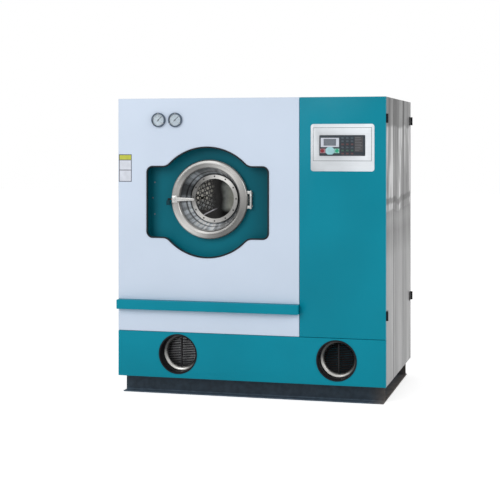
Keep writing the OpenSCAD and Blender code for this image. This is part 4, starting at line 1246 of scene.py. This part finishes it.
def make_gauges():
    """Pressure gauges: rounded case, dial with a scale, tapered needle and glass."""
    low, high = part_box("gauge_cases")
    radius, spots = round_pair("gauge_cases")
    front, lip = low.y, 4 * MM
    dial, dial_y = radius - 8 * MM, front + 10 * MM
    inside, inside_y = radius - 2 * MM, front + 9 * MM
    start, sweep, marks_per_dial, numbers = 225, 270, 31, 7
    cases, dials, marks, screws = [], [], [], []
    for side, spot in spots.items():
        section = arc((radius - lip, front + lip), lip, 0, -90, 6)
        section += [(radius - 7 * MM, front), (dial, front + 2 * MM), (dial, inside_y)]
        section += [(inside, inside_y), (inside, high.y), (radius, high.y)]
        cases.append(turned(f"gauge_case_{side}", section, spot, 64))
        for i, angle in enumerate((90, 215, 325)):
            place = around(spot, radius - 4.5 * MM, angle, front - 0.6 * MM)
            screws.append(socket_screw(f"gauge_screw_{side}_{i}", place, 3 * MM, 1.4 * MM))
        disc = ring_section(0.5 * MM, dial, dial_y, dial_y + 1 * MM)
        dials.append(turned(f"gauge_dial_{side}", disc, spot, 64))
        for i in range(marks_per_dial):
            reach, width = (3 * MM, 0.6 * MM) if i % 5 else (6 * MM, 1.1 * MM)
            angle = start - sweep * i / (marks_per_dial - 1)
            place = around(spot, dial - 2.5 * MM - reach / 2, angle, dial_y - 0.15 * MM)
            size = (reach, 0.3 * MM, width)
            marks.append(bar(f"gauge_mark_{side}_{i}", place, -math.radians(angle), size))
        for i in range(numbers):
            place = around(spot, 0.62 * dial, start - sweep * i / (numbers - 1), dial_y - 0.2 * MM)
            marks.append(numeral(str(2 * i), place, 6.5 * MM))
    dress(join("gauge_bezels", cases), "cabinet", "black_plastic", palette.bezel, "gauge_cases")
    dress(join("gauge_screws", screws), "cabinet", "plain_steel", palette.polished)
    dress(join("gauge_dials", dials), "cabinet", "black_plastic", palette.dial)
    dress(join("gauge_scales", marks), "cabinet", "black_paint", palette.scale)
    for side in spots:
        softened(f"gauge_needle_{side}", f"needle_{side}", "black_paint", palette.needle, 0.3 * MM, 2)


def numeral(words, spot, size):
    """A raised number that faces the front."""
    deselect()
    bpy.ops.object.text_add(location=spot, rotation=(math.pi / 2, 0, 0))
    text = bpy.context.object.data
    text.body = words
    text.size = size
    text.align_x = "CENTER"
    text.align_y = "CENTER"
    text.extrude = 0.1 * MM
    bpy.ops.object.convert(target="MESH")
    return take("numeral_" + words)


def make_vents():
    """Air inlets: black duct, polished bell mouth with a painted highlight, and louvres behind it."""
    low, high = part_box("vent_bells")
    radius, spots = round_pair("vent_bells")
    width, depth, steps = radius - 84.5 * MM, high.y - low.y, 12
    section = [(radius, high.y), (radius, low.y)]
    for i in range(1, steps + 1):
        a = math.radians(90 * i / steps)
        section.append((radius - width * math.sin(a), high.y - depth * math.cos(a)))
    bells = [turned(f"vent_bell_{side}", section, spot) for side, spot in spots.items()]
    dress(join("vent_bell_mouths", bells), "cabinet", "plain_steel", palette.bell, "vent_bells")
    softened("vent_ducts", "cabinet", "black_plastic", palette.black, 0.8 * MM)
    softened("vent_grilles", "cabinet", "black_plastic", palette.slat, 0.6 * MM)


# Areas on the control plate and the service card, in mm: left, right, low and high.
PLATE_LINES = (376.5, 710, 1360, 1548)
DISPLAY_FRAME = (421.5, 526, 1438, 1490)
STOP_STRIP = (418, 448.2, 1404.5, 1429.5)
START_STRIP = (499.8, 527, 1404.5, 1429.5)
LEGEND_PANEL = (613, 662, 1411, 1498)
LEGEND_FOOT = (545, 655, 1391.5, 1393.5)
SERVICE_CARD = (-785, -706, 1235, 1395)
# The small keys' first corner, step, size and colour by row, and the legend's bars, in mm.
KEY_CORNER, KEY_STEP, KEY_SIZE = (539, 1397), (27, 17.4), (14, 9)
KEY_KINDS = (1, 2, 0, 1, 0, 0)
LEGEND_CORNER, LEGEND_STEP, LEGEND_HEIGHT = (617, 1417), 9, 3
LEGEND_WIDTHS = (24, 36, 30, 40, 33, 38, 27, 35, 31)


def make_controls():
    """The control plate with its keypad, keys, display frame, button strips and plain legend bars."""
    body, slot = "front_service_door", "keypad_film"
    plate = soften(copy_node("control_plate", "control_plate_rounded"), 0.7 * MM, 2)
    dress(plate, body, "stainless_sheet", palette.plate, "control_plate")
    lines = frame_lines("plate_frame_lines", PLATE_LINES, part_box("control_plate")[0].y, 1.6 * sizes().line)
    dress(lines, body, slot, palette.film)
    pad = soften(copy_node("keypad", "keypad_film"), 0.5 * MM, 2)
    dress(pad, body, slot, palette.film, "keypad")

    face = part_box("keypad")[0].y + 0.6 * MM
    reach, behind = 1 * MM, 3 * MM
    low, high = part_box("display_window")
    bezel = patch("display_frame", DISPLAY_FRAME, face - 1.4 * MM, face, 1.2 * MM)
    window = block("window", (low.x, face - behind, low.z), (high.x, face + reach, high.z))
    dress(cut(bezel, [window]), body, slot, palette.frame)
    for node, area, finish in (
        ("stop_button", STOP_STRIP, palette.strip_red),
        ("start_button", START_STRIP, palette.strip_mint),
    ):
        low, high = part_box(node)
        strip = patch(node + "_strip", area, face - 0.8 * MM, face, 0.35 * MM)
        bore = (high.x - low.x) / 2 + 0.8 * MM
        rod = ring_section(0.1 * MM, bore, face - behind, face + reach)
        well = turned("well", rod, centre_of(node), 48)
        dress(cut(strip, [well]), body, slot, finish)
    for name, finish in (("stop", "red"), ("start", "green"), ("nav", "pale")):
        colour = getattr(palette, finish)
        softened(name + "_button", name + "_key", finish + "_plastic", colour, 1.2 * MM, 4, 40)

    keys = [[], [], []]
    for row, kind in enumerate(KEY_KINDS):
        for column in range(3):
            left = KEY_CORNER[0] + KEY_STEP[0] * column
            foot = KEY_CORNER[1] + KEY_STEP[1] * row
            area = (left, left + KEY_SIZE[0], foot, foot + KEY_SIZE[1])
            keys[kind].append(patch(f"key_{row}_{column}", area, face - 1 * MM, face - 0.1 * MM, 0.4 * MM))
    for kind, finish in enumerate((palette.key, palette.key_red, palette.key_green)):
        dress(join(f"keys_{kind}", keys[kind]), body, slot, finish)

    panel_face = face - 0.3 * MM
    dress(patch("legend_panel", LEGEND_PANEL, panel_face, face), body, slot, palette.legend)
    bars = []
    for row, width in enumerate(LEGEND_WIDTHS):
        left, foot = LEGEND_CORNER[0], LEGEND_CORNER[1] + LEGEND_STEP * row
        area = (left, left + width, foot, foot + LEGEND_HEIGHT)
        bars.append(patch(f"legend_{row}", area, panel_face - 0.15 * MM, panel_face))
    bars.append(patch("legend_foot", LEGEND_FOOT, face - 0.15 * MM, face))
    dress(join("legend_bars", bars), body, slot, palette.print)


def make_card():
    """A blank service card on the front panel: yellow head, white fields and thin dark lines."""
    left, right, low, high = SERVICE_CARD
    head_foot, field_foot = 1360, 1301
    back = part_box("front_panel")[0].y
    front = back - 0.3 * MM
    head = patch("card_head", (left, right, head_foot, high), front, back)
    dress(head, "cabinet", "painted_white", palette.card_head)
    paper = patch("card_paper", (left, right, low, head_foot), front, back)
    dress(paper, "cabinet", "painted_white", palette.card_paper)
    line = 3.4 * sizes().line
    edges = [frame_lines("card_edge", SERVICE_CARD, front, line)]
    for foot in (head_foot, field_foot):
        edges.append(patch("card_rule", (left, right, foot, foot + line / MM), front - PRINT, front))
    dress(join("card_lines", edges), "cabinet", "black_paint", palette.card_print)


# ---- Operators and panel ----


class MACHINE_OT_studio(bpy.types.Operator):
    """Makes the floor, the lamps, the surroundings and the camera"""

    bl_idname = "machine.studio"
    bl_label = "Studio"

    def execute(self, context):
        make_studio()
        return {"FINISHED"}


class MACHINE_OT_frame(bpy.types.Operator):
    """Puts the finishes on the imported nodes"""

    bl_idname = "machine.frame"
    bl_label = "Frame finishes"

    def execute(self, context):
        global palette
        palette = Palette()
        finish_frame()
        return {"FINISHED"}


class MACHINE_OT_cabinet(bpy.types.Operator):
    """Makes the folded sheets of the cabinet"""

    bl_idname = "machine.cabinet"
    bl_label = "Cabinet"

    def execute(self, context):
        make_cabinet()
        return {"FINISHED"}


class MACHINE_OT_recess(bpy.types.Operator):
    """Makes the trim of the recess"""

    bl_idname = "machine.recess"
    bl_label = "Recess"

    def execute(self, context):
        make_recess()
        return {"FINISHED"}


class MACHINE_OT_drum_door(bpy.types.Operator):
    """Makes the drum door with its window"""

    bl_idname = "machine.drum_door"
    bl_label = "Drum door"

    def execute(self, context):
        make_drum_door()
        return {"FINISHED"}


class MACHINE_OT_latch(bpy.types.Operator):
    """Makes the door hinge and the latch"""

    bl_idname = "machine.latch"
    bl_label = "Hinge and latch"

    def execute(self, context):
        make_hinge_and_latch()
        return {"FINISHED"}


class MACHINE_OT_drum(bpy.types.Operator):
    """Makes the perforated drum"""

    bl_idname = "machine.drum"
    bl_label = "Drum"

    def execute(self, context):
        make_drum()
        return {"FINISHED"}


class MACHINE_OT_gauges(bpy.types.Operator):
    """Makes the pressure gauges"""

    bl_idname = "machine.gauges"
    bl_label = "Gauges"

    def execute(self, context):
        make_gauges()
        return {"FINISHED"}


class MACHINE_OT_vents(bpy.types.Operator):
    """Makes the vents"""

    bl_idname = "machine.vents"
    bl_label = "Vents"

    def execute(self, context):
        make_vents()
        return {"FINISHED"}


class MACHINE_OT_card(bpy.types.Operator):
    """Makes the blank service card"""

    bl_idname = "machine.card"
    bl_label = "Service card"

    def execute(self, context):
        make_card()
        return {"FINISHED"}


class MACHINE_OT_controls(bpy.types.Operator):
    """Makes the control plate and keypad"""

    bl_idname = "machine.controls"
    bl_label = "Controls"

    def execute(self, context):
        make_controls()
        return {"FINISHED"}


OPERATORS = (
    MACHINE_OT_studio,
    MACHINE_OT_frame,
    MACHINE_OT_cabinet,
    MACHINE_OT_recess,
    MACHINE_OT_drum_door,
    MACHINE_OT_latch,
    MACHINE_OT_drum,
    MACHINE_OT_gauges,
    MACHINE_OT_vents,
    MACHINE_OT_card,
    MACHINE_OT_controls,
)


class MACHINE_PT_sidebar(bpy.types.Panel):
    """Lists the machine's pieces and settings"""

    bl_label = "Machine"
    bl_idname = "MACHINE_PT_sidebar"
    bl_space_type = "VIEW_3D"
    bl_region_type = "UI"
    bl_category = "Machine"

    def draw(self, context):
        scene = context.scene
        for operator in OPERATORS:
            self.layout.operator(operator.bl_idname)
        for group in (scene.machine_colours, scene.machine_sizes, scene.machine_studio):
            for key in group.__annotations__:
                self.layout.prop(group, key)


CLASSES = (MachineColours, MachineSizes, MachineStudio, *OPERATORS, MACHINE_PT_sidebar)


def register():
    for item in CLASSES:
        bpy.utils.register_class(item)
    bpy.types.Scene.machine_colours = bpy.props.PointerProperty(type=MachineColours)
    bpy.types.Scene.machine_sizes = bpy.props.PointerProperty(type=MachineSizes)
    bpy.types.Scene.machine_studio = bpy.props.PointerProperty(type=MachineStudio)


def unregister():
    del bpy.types.Scene.machine_colours
    del bpy.types.Scene.machine_sizes
    del bpy.types.Scene.machine_studio
    for item in reversed(CLASSES):
        bpy.utils.unregister_class(item)


def main():
    register()
    bpy.ops.machine.studio()
    bpy.ops.machine.frame()
    bpy.ops.machine.cabinet()
    bpy.ops.machine.recess()
    bpy.ops.machine.drum_door()
    bpy.ops.machine.latch()
    bpy.ops.machine.drum()
    bpy.ops.machine.gauges()
    bpy.ops.machine.vents()
    bpy.ops.machine.card()
    bpy.ops.machine.controls()
    deselect()


if __name__ == "__main__":
    main()
